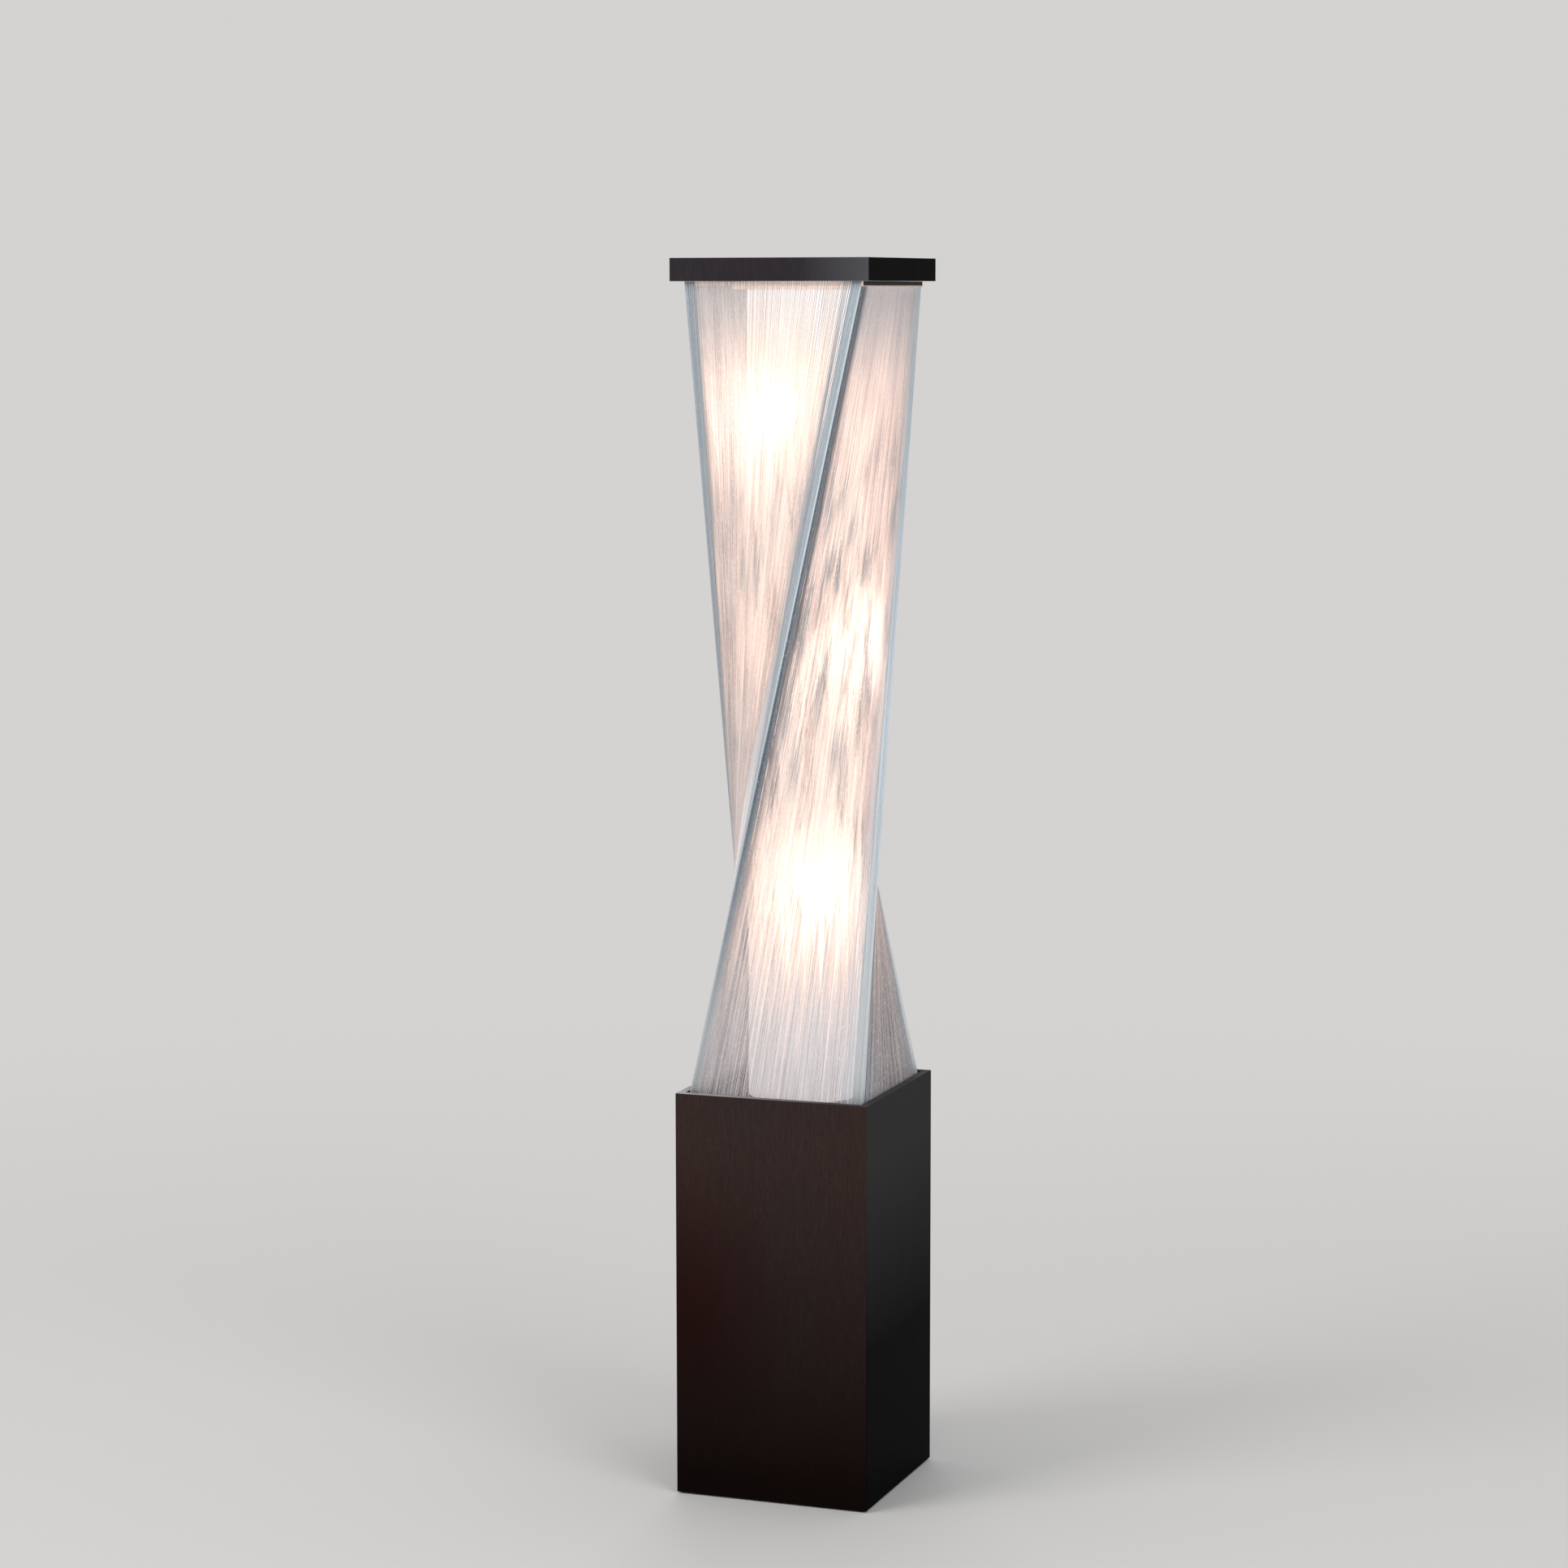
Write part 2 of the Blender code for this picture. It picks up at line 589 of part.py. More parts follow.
def band_section(index):
    """The corner where two walls meet, as a bent strip."""
    band_share = CORNER_BAND / STRING_BOTTOM_SIDE

    def section(climb):
        return [
            column_point(index - 1, 1 - band_share, climb, 0),
            column_point(index, 0, climb, 0),
            column_point(index, band_share, climb, 0),
            column_point(index, band_share, climb, STRING_THICKNESS),
            column_point(index, 0, climb, STRING_THICKNESS),
            column_point(index - 1, 1 - band_share, climb, STRING_THICKNESS),
        ]

    return section


def build_strings(finishes):
    carrier = group("string_carrier")
    walls = ("front", "right", "back", "left")
    for i, side in enumerate(walls):
        add("string_wall_" + side, loft(wall_section(i), COLUMN_STEPS), finishes["string"], parent=carrier)
    for i, corner in enumerate(corner_names()):
        add("string_corner_" + corner, loft(band_section(i), COLUMN_STEPS), finishes["string_edge"], parent=carrier)


def square_frame(outer_side, inner_side, low, high):
    """A flat square plate with a square opening."""
    form = bmesh.new()
    rings = {}
    for height in (low, high):
        for k, side in enumerate((outer_side, inner_side)):
            places = [corner_place(n, side) for n in range(CORNERS)]
            rings[height, k] = [form.verts.new((p.x, p.y, height)) for p in places]
    for n in range(CORNERS):
        m = (n + 1) % CORNERS
        for height in (low, high):
            outer, hole = rings[height, 0], rings[height, 1]
            form.faces.new((outer[n], outer[m], hole[m], hole[n]))
        for k in (0, 1):
            bottom, top = rings[low, k], rings[high, k]
            form.faces.new((bottom[n], bottom[m], top[m], top[n]))
    return form


def build_head(finishes):
    plate_side = STRING_TOP_SIDE + 2 * TOP_PLATE_LIP
    plate = square_frame(plate_side, TOP_OPENING, TOP_PLATE_BOTTOM, TOP_PLATE_TOP)
    add("top_string_plate", plate, finishes["black_metal"])
    bar = box(CROSS_BAR_LENGTH, CROSS_BAR_WIDTH, CROSS_BAR_BOTTOM, CROSS_BAR_TOP)
    bar = add("top_cross_bar", bar, finishes["black_metal"])
    round_cut(bar, "bar_pole_hole", POLE_HOLE_RADIUS, CROSS_BAR_BOTTOM, CROSS_BAR_TOP, POLE_SIDES)
    carrier = group("cap_carrier", location=(0, 0, CAP_BOTTOM))
    cap = add("cap_plate", box(CAP_SIDE, CAP_SIDE, 0, CAP_THICKNESS), finishes["lacquer"], parent=carrier)
    bevel = cap.modifiers.new("edge", "BEVEL")
    bevel.width = CAP_BEVEL
    bevel.segments = 2
    locator_side = TOP_OPENING - 2 * LOCATOR_CLEARANCE
    locator = square_frame(
        locator_side,
        locator_side - 2 * LOCATOR_WIDTH,
        -FIT_GAP - LOCATOR_THICKNESS,
        -FIT_GAP,
    )
    add("cap_locating_frame", locator, finishes["board"], parent=carrier)


def main():
    clear_scene()
    finishes = {
        "lacquer": material("lacquer", (0.018, 0.012, 0.011), 0.30),
        "board": material("board", (0.36, 0.26, 0.17), 0.75),
        "white_board": material("white_board", (0.70, 0.69, 0.66), 0.60),
        "iron": material("iron", (0.10, 0.10, 0.11), 0.60, metallic=1.0),
        "steel": material("steel", (0.30, 0.30, 0.31), 0.40, metallic=1.0),
        "zinc": material("zinc", (0.62, 0.62, 0.60), 0.35, metallic=1.0),
        "brass": material("brass", (0.70, 0.62, 0.42), 0.30, metallic=1.0),
        "black_metal": material("black_metal", (0.010, 0.009, 0.010), 0.45),
        "rubber": material("rubber", (0.02, 0.02, 0.02), 0.85),
        "black_plastic": material("black_plastic", (0.02, 0.02, 0.02), 0.50),
        "porcelain": material("porcelain", (0.80, 0.79, 0.76), 0.25),
        "bulb": material("bulb", (0.95, 0.90, 0.85), 0.20, glow=(1.0, 0.90, 0.82)),
        "frosted": material("frosted", (0.90, 0.86, 0.82), 0.60, alpha=0.8, glow=(0.60, 0.48, 0.42)),
        "string": material("string", (0.62, 0.60, 0.60), 0.40),
        "string_edge": material("string_edge", (0.36, 0.41, 0.45), 0.40),
    }
    build_base(finishes)
    build_inlet(finishes)
    build_lower_plate(finishes)
    build_pole(finishes)
    build_diffuser(finishes)
    build_light("top", -135, finishes)
    build_light("middle", 45, finishes)
    build_light("bottom", -45, finishes)
    build_strings(finishes)
    build_head(finishes)


main()
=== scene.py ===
"""The looks of a square floor lamp: lacquered base and cap, twisted string column, lit diffuser tube.

Metres, +Z up. The column's strings are straight, each from one side of the lower plate to the next side of
the top plate, so every wall is a twisted sheet of them.
"""

import math
import random
from types import SimpleNamespace

import bpy
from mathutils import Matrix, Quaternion, Vector


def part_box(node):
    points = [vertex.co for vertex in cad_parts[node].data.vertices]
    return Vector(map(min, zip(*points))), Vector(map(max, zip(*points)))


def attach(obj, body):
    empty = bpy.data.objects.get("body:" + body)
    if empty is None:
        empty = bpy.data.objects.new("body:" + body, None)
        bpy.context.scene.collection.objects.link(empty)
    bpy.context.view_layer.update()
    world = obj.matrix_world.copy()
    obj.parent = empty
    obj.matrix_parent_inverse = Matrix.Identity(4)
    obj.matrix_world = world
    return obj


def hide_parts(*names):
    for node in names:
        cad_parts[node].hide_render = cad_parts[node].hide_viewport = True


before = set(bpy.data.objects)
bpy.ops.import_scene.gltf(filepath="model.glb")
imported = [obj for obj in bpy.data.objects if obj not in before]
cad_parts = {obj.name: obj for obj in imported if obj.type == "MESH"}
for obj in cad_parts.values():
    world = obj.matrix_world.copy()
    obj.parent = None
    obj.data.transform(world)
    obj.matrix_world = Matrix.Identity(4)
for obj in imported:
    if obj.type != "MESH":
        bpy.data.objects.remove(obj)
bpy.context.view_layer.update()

# Column, from the solids that it replaces
CORNERS = 4
FIT_GAP = 0.0003
BOTTOM_SIDE = 0.227
TOP_SIDE = 0.226
COLUMN_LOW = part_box("string_wall_front")[0][2]
COLUMN_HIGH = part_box("string_wall_front")[1][2]
CAP_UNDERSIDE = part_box("cap_plate")[0][2]
CORNER_BAND = 0.011
# Walls whose strings pass outside the top plate and run up to the cap: at the top these face left and front
WALLS_TO_CAP = (2, 3)

# Strings
STRING_SEED = 7
STRINGS_PER_LAYER = 160
STRING_RADIUS = 0.00030
STRING_RADIUS_SPREAD_SHARE = 0.35
STRING_JITTER_SHARE = 0.42
STRING_SIDES = 4
LAYER_INSETS = (0.0006, 0.0024)
BAND_INSETS = (0.0006, 0.0014, 0.0022)
BAND_PITCH = 0.00078
BAND_STRING_RADIUS = 0.00046
EDGE_STRING_RADIUS = 0.0009
EDGE_STRING_SHARE = 0.5

# Tones of a wall's first and last strings, each as its darkest and its palest: painted shade on the first
# strings and painted light on the last ones, on the two sides of each corner band
STEEL_TONES = ((0.03, 0.04, 0.06), (0.42, 0.46, 0.52))
SLATE_TONES = ((0.06, 0.09, 0.14), (0.60, 0.67, 0.76))
PEARL_TONES = ((0.36, 0.38, 0.39), (0.84, 0.86, 0.86))
BLUE_TONES = ((0.26, 0.34, 0.41), (0.78, 0.88, 0.96))
ICE_TONES = ((0.66, 0.74, 0.82), (1.00, 1.00, 1.00))
# Each wall's looks: the power of the glow painted on it for the bulbs' light, the share of that left low
# down and the share left on its first strings, and how deep the painted shadow blotches at the waist are;
# its own dark and pale tones, the share of the dark one left low down as painted shade, and how much cooler
# both get at the top; the tones of the painted shade on its first strings, the shares of the wall where
# those stop and how much of them shows low down; the tones of the painted light on its last strings, higher
# up and low down, how much of those shows, and how much wider they lie low down
WALLS = {
    "front": SimpleNamespace(
        power=0.0066, low_power=0.76, dim=0.86, depth=0.85,
        dark=(0.36, 0.38, 0.43), pale=(0.98, 0.99, 1.0), low_shade=1.0, cool=1.0,
        start_tones=STEEL_TONES, start_shares=(0.070, 0.130), start_low=0.15,
        end_tones=ICE_TONES, end_low_tones=ICE_TONES, end_weight=0.80, end_wider=0.0,
    ),
    "right": SimpleNamespace(
        power=0.0064, low_power=0.25, dim=1.0, depth=0.35,
        dark=(0.34, 0.33, 0.36), pale=(0.86, 0.87, 0.91), low_shade=0.06, cool=0.6,
        start_tones=SLATE_TONES, start_shares=(0.09, 0.14), start_low=0.90,
        end_tones=BLUE_TONES, end_low_tones=BLUE_TONES, end_weight=0.50, end_wider=0.0,
    ),
    "back": SimpleNamespace(
        power=0.0066, low_power=0.8, dim=1.0, depth=0.50,
        dark=(0.34, 0.35, 0.39), pale=(0.98, 0.99, 1.0), low_shade=1.0, cool=0.6,
        start_tones=SLATE_TONES, start_shares=(0.07, 0.12), start_low=0.50,
        end_tones=BLUE_TONES, end_low_tones=BLUE_TONES, end_weight=0.75, end_wider=0.0,
    ),
    "left": SimpleNamespace(
        power=0.0048, low_power=0.40, dim=0.72, depth=0.30,
        dark=(0.34, 0.35, 0.38), pale=(0.98, 0.99, 1.0), low_shade=1.0, cool=0.35,
        start_tones=PEARL_TONES, start_shares=(0.066, 0.074), start_low=0.60,
        end_tones=BLUE_TONES, end_low_tones=ICE_TONES, end_weight=1.00, end_wider=0.20,
    ),
}
# Each corner bundle: how strong its painted shade is where a wall starts, and its painted light where one
# ends
BUNDLES = {
    "front_left": (1.0, 0.90),
    "front_right": (0.75, 1.0),
    "back_right": (0.6, 1.0),
    "back_left": (0.30, 0.90),
}

# Climbs along a string, from 0 at the lower plate to 1 at the top one, between which a wall's looks change
START_CLIMBS = (0.10, 0.42)
DEEP_CLIMBS = (0.20, 0.45)
WAIST_CLIMBS = (0.30, 0.42)
WAIST_TOP_CLIMBS = (0.74, 0.84)
POWER_CLIMBS = (0.32, 0.58)
END_WIDTH_CLIMBS = (0.36, 0.58)
END_TONE_CLIMBS = (0.36, 0.66)
COOL_CLIMBS = (0.80, 0.99)
FADE_CLIMBS = (0.89, 0.99)
# Shares of a wall between which its last strings take over, in colour with painted light and in the painted
# glow on them
END_SHARES = (0.87, 0.925)
END_LIGHT_SHARES = (0.84, 0.925)
# Shares of a wall between which its light stops being dim
DIM_SHARES = (0.10, 0.60)

# How finely patterns repeat: across the walls and along the strings, or along X, Y and Z
RUN_SCALE = (120.0, 7.0, 1.0)
SHADOW_BLOTCH_SCALE = (11.0, 13.0, 1.0)
PAINTED_GLINT_SCALE = (400.0, 160.0, 1.0)
STRAND_SCALE = (110.0, 1.6, 1.0)
BAND_PAINTED_GLINT_SCALE = (500.0, 220.0, 1.0)
TUBE_STREAK_SCALE = (170.0, 170.0, 5.0)
TUBE_SHADOW_PATCH_SCALE = (46.0, 46.0, 15.0)
LACQUER_GRAIN_SCALE = (900.0, 900.0, 60.0)
LACQUER_CLOUD_SCALE = 5.0
DUST_SCALE = 900.0
BULB_CLOUD_SCALE = 60.0
EVEN_GRAIN_SCALE = (400.0, 400.0, 400.0)
BOARD_GRAIN_SCALE = (300.0, 300.0, 20.0)
# Values between which most of a noise lies, and those of the finer noise in the strings
NOISE_RANGE = (0.3, 0.7)
STRING_NOISE_RANGE = (0.36, 0.64)

# Glow painted on the walls and on the tube for the bulbs' light: how soft its spots are, how strong they
# are on the tube, and how far up and down their edges and the painted shadow blotches fray
WALL_SOFTNESS = 0.0045
TUBE_SOFTNESS = 0.0026
TUBE_POWER = 0.0050
WALL_FRAY = 0.045
TUBE_FRAY = 0.070
SHADOW_BLOTCH_FRAY_CLIMB = 0.022
# Heights between which the tube's painted glow gets brighter, and between which its painted shadows come in
# and go out
TUBE_HEIGHTS = (0.5, 1.5)
TUBE_SHADOW_BLOTCH_LOW = (0.68, 0.82)
TUBE_SHADOW_BLOTCH_HIGH = (1.20, 1.30)
BULB_NAMES = ("top", "middle", "bottom")
BULB_STRENGTH = 5.0

# Above the lower plate the strings gather into the notches that hold them
NOTCHES = 56
GATHER_CLIMB = 0.018
GATHER_SHARE = 0.62
# Notches that lost their strings, as wall and share along its lower side
EMPTY_NOTCHES = ((0, 0.27), (0, 0.325), (1, 0.30))

# Diffuser tube
TUBE_SIDES = 96
TUBE_WALL = 0.0015
TUBE_SHARP_ANGLE = math.radians(40)

# Base case
CASE_WALL = 0.010
CASE_EDGE = 0.0009
CASE_EDGE_STEPS = 3
# Where its front is reddest, given in a space whose heights are squeezed
CASE_RED_PLACE = Vector((-0.115, -0.125, 0.175))
CASE_RED_SQUEEZE = (1.0, 1.0, 0.75)
# The front left corner, where the highlight painted on its rim is brightest
CASE_RIM_HIGHLIGHT_CORNER = Vector((-0.125, -0.125, 0.508))

# Top plate: two of its sides stand out over their strings and show their teeth
PLATE_OPENING = 0.150
PLATE_NEAR_REACH = 0.1094
PLATE_OUTER_REACHES = (0.1105, 0.1115)
TEETH_PER_SIDE = 76
TOOTH_DROP = 0.0014
TOOTH_DEPTH = 0.0009
TOOTH_WIDTH_SHARE = 0.6

# Backdrop and the floor that fades into it
BACKDROP = (0.66, 0.65, 0.64)
FLOOR_TONE = (0.74, 0.73, 0.72)
FLOOR_RADIUS = 60.0
FLOOR_SIDES = 64
FADE_START = 0.35
FADE_END = 3.4

# Studio light: the world's tone and strength, then each lamp's name, place, width, power and colour
WORLD_TONE = (0.80, 0.80, 0.80)
WORLD_STRENGTH = 0.62
LAMP_AIM = Vector((0, 0, 0.8))
LAMPS = (
    ("key", (-2.6, -3.2, 3.0), 2.2, 78.0, (1.0, 0.99, 0.98)),
    ("fill", (3.4, -2.4, 2.2), 2.4, 58.0, (0.96, 0.98, 1.0)),
    ("rim", (-1.0, 3.2, 2.8), 2.0, 26.0, (0.96, 0.98, 1.0)),
)

# Camera, solved from the corners of the base and the cap
CAMERA_PLACE = Vector((1.7051, -4.6853, 1.4903))
CAMERA_FORWARD = Vector((-0.3443, 0.9310, -0.1209))
CAMERA_ROLL = math.radians(-0.076)
CAMERA_LENS = 92.94
CAMERA_SENSOR = 36.0
CAMERA_RANGE = 100.0

WHITE = (1.0, 1.0, 1.0)


def bulb_centre(name):
    """The middle of a bulb's globe, which lies half the globe's width below its top."""
    low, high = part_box("bulb_glass_" + name)
    radius = (high[0] - low[0]) / 2
    return Vector(((low[0] + high[0]) / 2, (low[1] + high[1]) / 2, high[2] - radius))


def scaled(colour, share):
    return tuple(part * share for part in colour)


class Nodes:
    """A material's node tree with short calls for the nodes that the finishes share."""

    def __init__(self, name):
        self.material = bpy.data.materials.new(name)
        self.material.use_nodes = True
        self.tree = self.material.node_tree
        self.shader = self.tree.nodes["Principled BSDF"]
        self.output = self.tree.nodes["Material Output"]

    def add(self, kind, **settings):
        node = self.tree.nodes.new(kind)
        for key, value in settings.items():
            setattr(node, key, value)
        return node

    def put(self, socket, value):
        """Links a socket, or sets a plain value."""
        if isinstance(value, bpy.types.NodeSocket):
            self.tree.links.new(value, socket)
        else:
            socket.default_value = value

    def give(self, name, value):
        """Links or sets one of the shader's own sockets."""
        self.put(self.shader.inputs[name], value)

    def math(self, operation, *values):
        node = self.add("ShaderNodeMath", operation=operation)
        for socket, value in zip(node.inputs, values):
            self.put(socket, value)
        return node.outputs[0]

    def plus(self, first, second):
        return self.math("ADD", first, second)

    def times(self, first, second):
        return self.math("MULTIPLY", first, second)

    def larger(self, first, second):
        return self.math("MAXIMUM", first, second)

    def vector(self, operation, *values):
        node = self.add("ShaderNodeVectorMath", operation=operation)
        for socket, value in zip(node.inputs, values):
            self.put(socket, value)
        return node.outputs["Value"] if operation in ("DISTANCE", "LENGTH") else node.outputs[0]

    def scale(self, vector, factors):
        return self.vector("MULTIPLY", vector, factors)

    def shifted(self, vector, axis, distance):
        """A place moved along one axis, by a distance that may differ from point to point."""
        shift = self.add("ShaderNodeCombineXYZ")
        self.put(shift.inputs[axis], distance)
        return self.vector("ADD", vector, shift.outputs[0])

    def place(self):
        return self.add("ShaderNodeNewGeometry").outputs["Position"]

    def parts(self, vector):
        """The X, Y and Z of a vector."""
        split = self.add("ShaderNodeSeparateXYZ")
        self.put(split.inputs[0], vector)
        return split.outputs

    def place_parts(self):
        return self.parts(self.place())

    def facing_parts(self):
        return self.parts(self.add("ShaderNodeNewGeometry").outputs["Normal"])

    def noise(self, vector, scale, detail=3.0, roughness=0.5):
        node = self.add("ShaderNodeTexNoise")
        self.put(node.inputs["Vector"], vector)
        self.put(node.inputs["Scale"], scale)
        self.put(node.inputs["Detail"], detail)
        self.put(node.inputs["Roughness"], roughness)
        return node.outputs["Fac"]

    def grain(self, vector, factors, detail=3.0, roughness=0.5):
        """Noise that is finer along some axes than along others."""
        return self.noise(self.scale(vector, factors), 1.0, detail, roughness)

    def spread(self, value, low, high, to_low=0.0, to_high=1.0, kind="LINEAR"):
        """A value's place between a low and a high one, held within them."""
        node = self.add("ShaderNodeMapRange", interpolation_type=kind)
        for socket, item in zip(node.inputs, (value, low, high, to_low, to_high)):
            self.put(socket, item)
        return node.outputs[0]

    def mix(self, share, first, second):
        node = self.add("ShaderNodeMix", data_type="RGBA")
        self.put(node.inputs[0], share)
        self.put(node.inputs[6], first if isinstance(first, bpy.types.NodeSocket) else (*first, 1.0))
        self.put(node.inputs[7], second if isinstance(second, bpy.types.NodeSocket) else (*second, 1.0))
        return node.outputs[2]

    def bump(self, height, strength, distance):
        node = self.add("ShaderNodeBump")
        self.put(node.inputs["Height"], height)
        node.inputs["Strength"].default_value = strength
        node.inputs["Distance"].default_value = distance
        self.give("Normal", node.outputs[0])

    def glow(self, colour, strength):
        node = self.add("ShaderNodeEmission")
        self.put(node.inputs["Color"], colour)
        self.put(node.inputs["Strength"], strength)
        return node.outputs[0]

    def clear(self):
        return self.add("ShaderNodeBsdfTransparent").outputs[0]

    def show_mixed(self, share, first, second):
        """Shows one shader, and a share of another in its place."""
        node = self.add("ShaderNodeMixShader")
        self.put(node.inputs[0], share)
        self.put(node.inputs[1], first)
        self.put(node.inputs[2], second)
        self.put(self.output.inputs["Surface"], node.outputs[0])

    def lights_nothing(self):
        """The material, whose glow is seen but isn't sampled as a lamp."""
        self.material.cycles.emission_sampling = "NONE"
        return self.material


def plain_finish(name, colour, other, roughness, metallic=0.0, grain=EVEN_GRAIN_SCALE, bump=0.05):
    """A finish whose colour and roughness wander a little along a grain."""
    made = Nodes(name)
    pattern = made.grain(made.place(), grain)
    made.give("Base Color", made.mix(made.spread(pattern, *NOISE_RANGE), colour, other))
    made.give("Roughness", made.spread(pattern, *NOISE_RANGE, roughness * 0.85, roughness * 1.15))
    made.give("Metallic", metallic)
    made.bump(pattern, bump, 0.0005)
    return made.material


def lacquer_finish(name, colour, warm, roughness, speckle):
    """Dark lacquer with fine upright grain under it, a warmer cast in places and tiny dust specks."""
    made = Nodes(name)
    place = made.place()
    grain = made.grain(place, LACQUER_GRAIN_SCALE, 4.0, 0.6)
    cloud = made.noise(place, LACQUER_CLOUD_SCALE, 2.0)
    base = made.mix(made.spread(cloud, 0.40, 0.66), colour, warm)
    ridge = tuple(part * 1.7 + 0.003 for part in colour)
    lighter = made.mix(made.spread(grain, 0.45, 0.75, 0.0, 0.5), base, ridge)
    specks = made.noise(place, DUST_SCALE, 0.0)
    dust = (0.16, 0.15, 0.15)
    dusty = made.mix(made.spread(specks, 0.76, 0.82, 0.0, speckle), lighter, dust)
    made.give("Roughness", made.spread(grain, *NOISE_RANGE, roughness * 0.85, roughness * 1.2))
    made.give("Specular IOR Level", 0.004)
    made.bump(grain, 0.05, 0.0003)
    return made, dusty


def by_side(made, facing, front, sides):
    """One colour on the faces to the front and back, and another, with painted light and shade, on those to
    the left and right.
    """
    return made.mix(made.spread(made.math("ABSOLUTE", facing[0]), 0.5, 0.9), front, sides)


def case_finish():
    """The base's lacquer: espresso brown, red low on the front, painted shade at the foot, painted grey
    reflection on sides and rim.
    """
    brown, warm_brown = (0.0340, 0.0225, 0.0205), (0.0400, 0.0230, 0.0200)
    red, painted_front_foot_shade = (0.030, 0.0070, 0.0052), (0.0030, 0.0016, 0.0014)
    painted_side_foot_shade, painted_side_reflection = (0.0008, 0.0007, 0.0007), (0.0310, 0.0310, 0.0315)
    painted_rim_highlight, painted_rim_reflection = (0.42, 0.42, 0.43), (0.060, 0.060, 0.062)
    made, coat = lacquer_finish("case_lacquer", brown, warm_brown, 0.34, 0.16)
    place, facing = made.place_parts(), made.facing_parts()
    from_red = made.vector("DISTANCE", made.scale(made.place(), CASE_RED_SQUEEZE), CASE_RED_PLACE)
    redder = made.mix(made.spread(from_red, 0.02, 0.15, 0.75, 0.0), coat, red)
    # Painted shade: the front darkens towards the foot
    front = made.mix(made.spread(place[2], 0.03, 0.46, 0.92, 0.0), redder, painted_front_foot_shade)
    # Painted reflection on the sides, fading into painted shade towards the foot
    side = made.mix(made.spread(place[2], 0.20, 0.44), painted_side_foot_shade, painted_side_reflection)
    walls = by_side(made, facing, front, side)
    # Painted reflection on the rim, with a painted highlight brightest at the front left corner
    from_rim_highlight = made.vector("DISTANCE", made.place(), CASE_RIM_HIGHLIGHT_CORNER)
    rim = made.mix(made.spread(from_rim_highlight, 0.02, 0.20), painted_rim_highlight, painted_rim_reflection)
    made.give("Base Color", made.mix(made.spread(facing[2], 0.6, 0.95), walls, rim))
    return made.material


def cap_finish():
    """The cap's lacquer: painted sheen at the near end of its front, painted side shade, the column's
    painted light below.
    """
    charcoal, warm_charcoal = (0.0300, 0.0250, 0.0300), (0.0340, 0.0285, 0.0330)
    painted_near_sheen, black = (0.082, 0.084, 0.092), (0.0035, 0.0033, 0.0036)
    lit_underside = (0.62, 0.55, 0.52)
    made, coat = lacquer_finish("cap_lacquer", charcoal, warm_charcoal, 0.42, 0.14)
    place, facing = made.place_parts(), made.facing_parts()
    # Painted sheen towards the near end of the front
    front = made.mix(made.spread(place[0], 0.04, 0.125), coat, painted_near_sheen)
    # Painted shade: the left and right sides are near black
    walls = by_side(made, facing, front, black)
    # Painted light from the column: the underside is pale pink
    made.give("Base Color", made.mix(made.spread(facing[2], -0.7, -0.9), walls, lit_underside))
    return made.material


def glow_field(made, softness, power, place, rise):
    """Painted light from the three bulbs at a point that is moved up or down a little, to fray its spots."""
    place = made.shifted(place, 2, rise)
    total = None
    for name in BULB_NAMES:
        away = made.vector("DISTANCE", place, bulb_centre(name))
        near = made.math("DIVIDE", power, made.plus(made.times(away, away), softness))
        total = near if total is None else made.plus(total, near)
    return total


def tube_finish():
    """Frosted tube with a painted glow for the bulbs' light inside it, through which the bulbs show a
    little.
    """
    made = Nodes("frosted_tube")
    place = made.place()
    height = made.parts(place)[2]
    streaks = made.grain(place, TUBE_STREAK_SCALE, 3.0, 0.7)
    rise = made.spread(streaks, *NOISE_RANGE, -TUBE_FRAY, TUBE_FRAY)
    # Painted light: the tube glows with the bulbs' light, strongest near each bulb and brighter higher up
    field = glow_field(made, TUBE_SOFTNESS, TUBE_POWER, place, rise)
    strength = made.times(field, made.spread(streaks, *NOISE_RANGE, 0.4, 1.5))
    strength = made.plus(strength, made.spread(height, *TUBE_HEIGHTS, 0.66, 1.20))
    # Painted shadows: blotches that darken the tube's glow at its middle heights
    shadow_patches = made.grain(made.shifted(place, 2, rise), TUBE_SHADOW_PATCH_SCALE, 2.0)
    outside, inside = 0.92, 0.20
    fade_in = made.spread(height, *TUBE_SHADOW_BLOTCH_LOW, outside, inside)
    fade_out = made.spread(height, *TUBE_SHADOW_BLOTCH_HIGH, inside, outside)
    strength = made.times(strength, made.spread(shadow_patches, 0.38, 0.47, made.larger(fade_in, fade_out), 1.0))
    cool, peach, cream = (0.93, 0.89, 0.91), (1.0, 0.75, 0.62), (1.0, 0.88, 0.75)
    colour = made.mix(made.spread(field, 0.12, 0.45), cool, peach)
    colour = made.mix(made.spread(field, 0.8, 2.0), colour, cream)
    made.show_mixed(0.3, made.glow(colour, strength), made.clear())
    return made.lights_nothing()


def bulb_finish():
    """Opal glass that glows, a little unevenly."""
    made = Nodes("opal_bulb")
    made.give("Base Color", (0.95, 0.92, 0.88, 1.0))
    made.give("Roughness", 0.25)
    cloud = made.noise(made.place(), BULB_CLOUD_SCALE, 1.0)
    made.give("Emission Color", made.mix(cloud, (1.0, 0.90, 0.80), (1.0, 0.95, 0.89)))
    made.give("Emission Strength", BULB_STRENGTH)
    return made.material


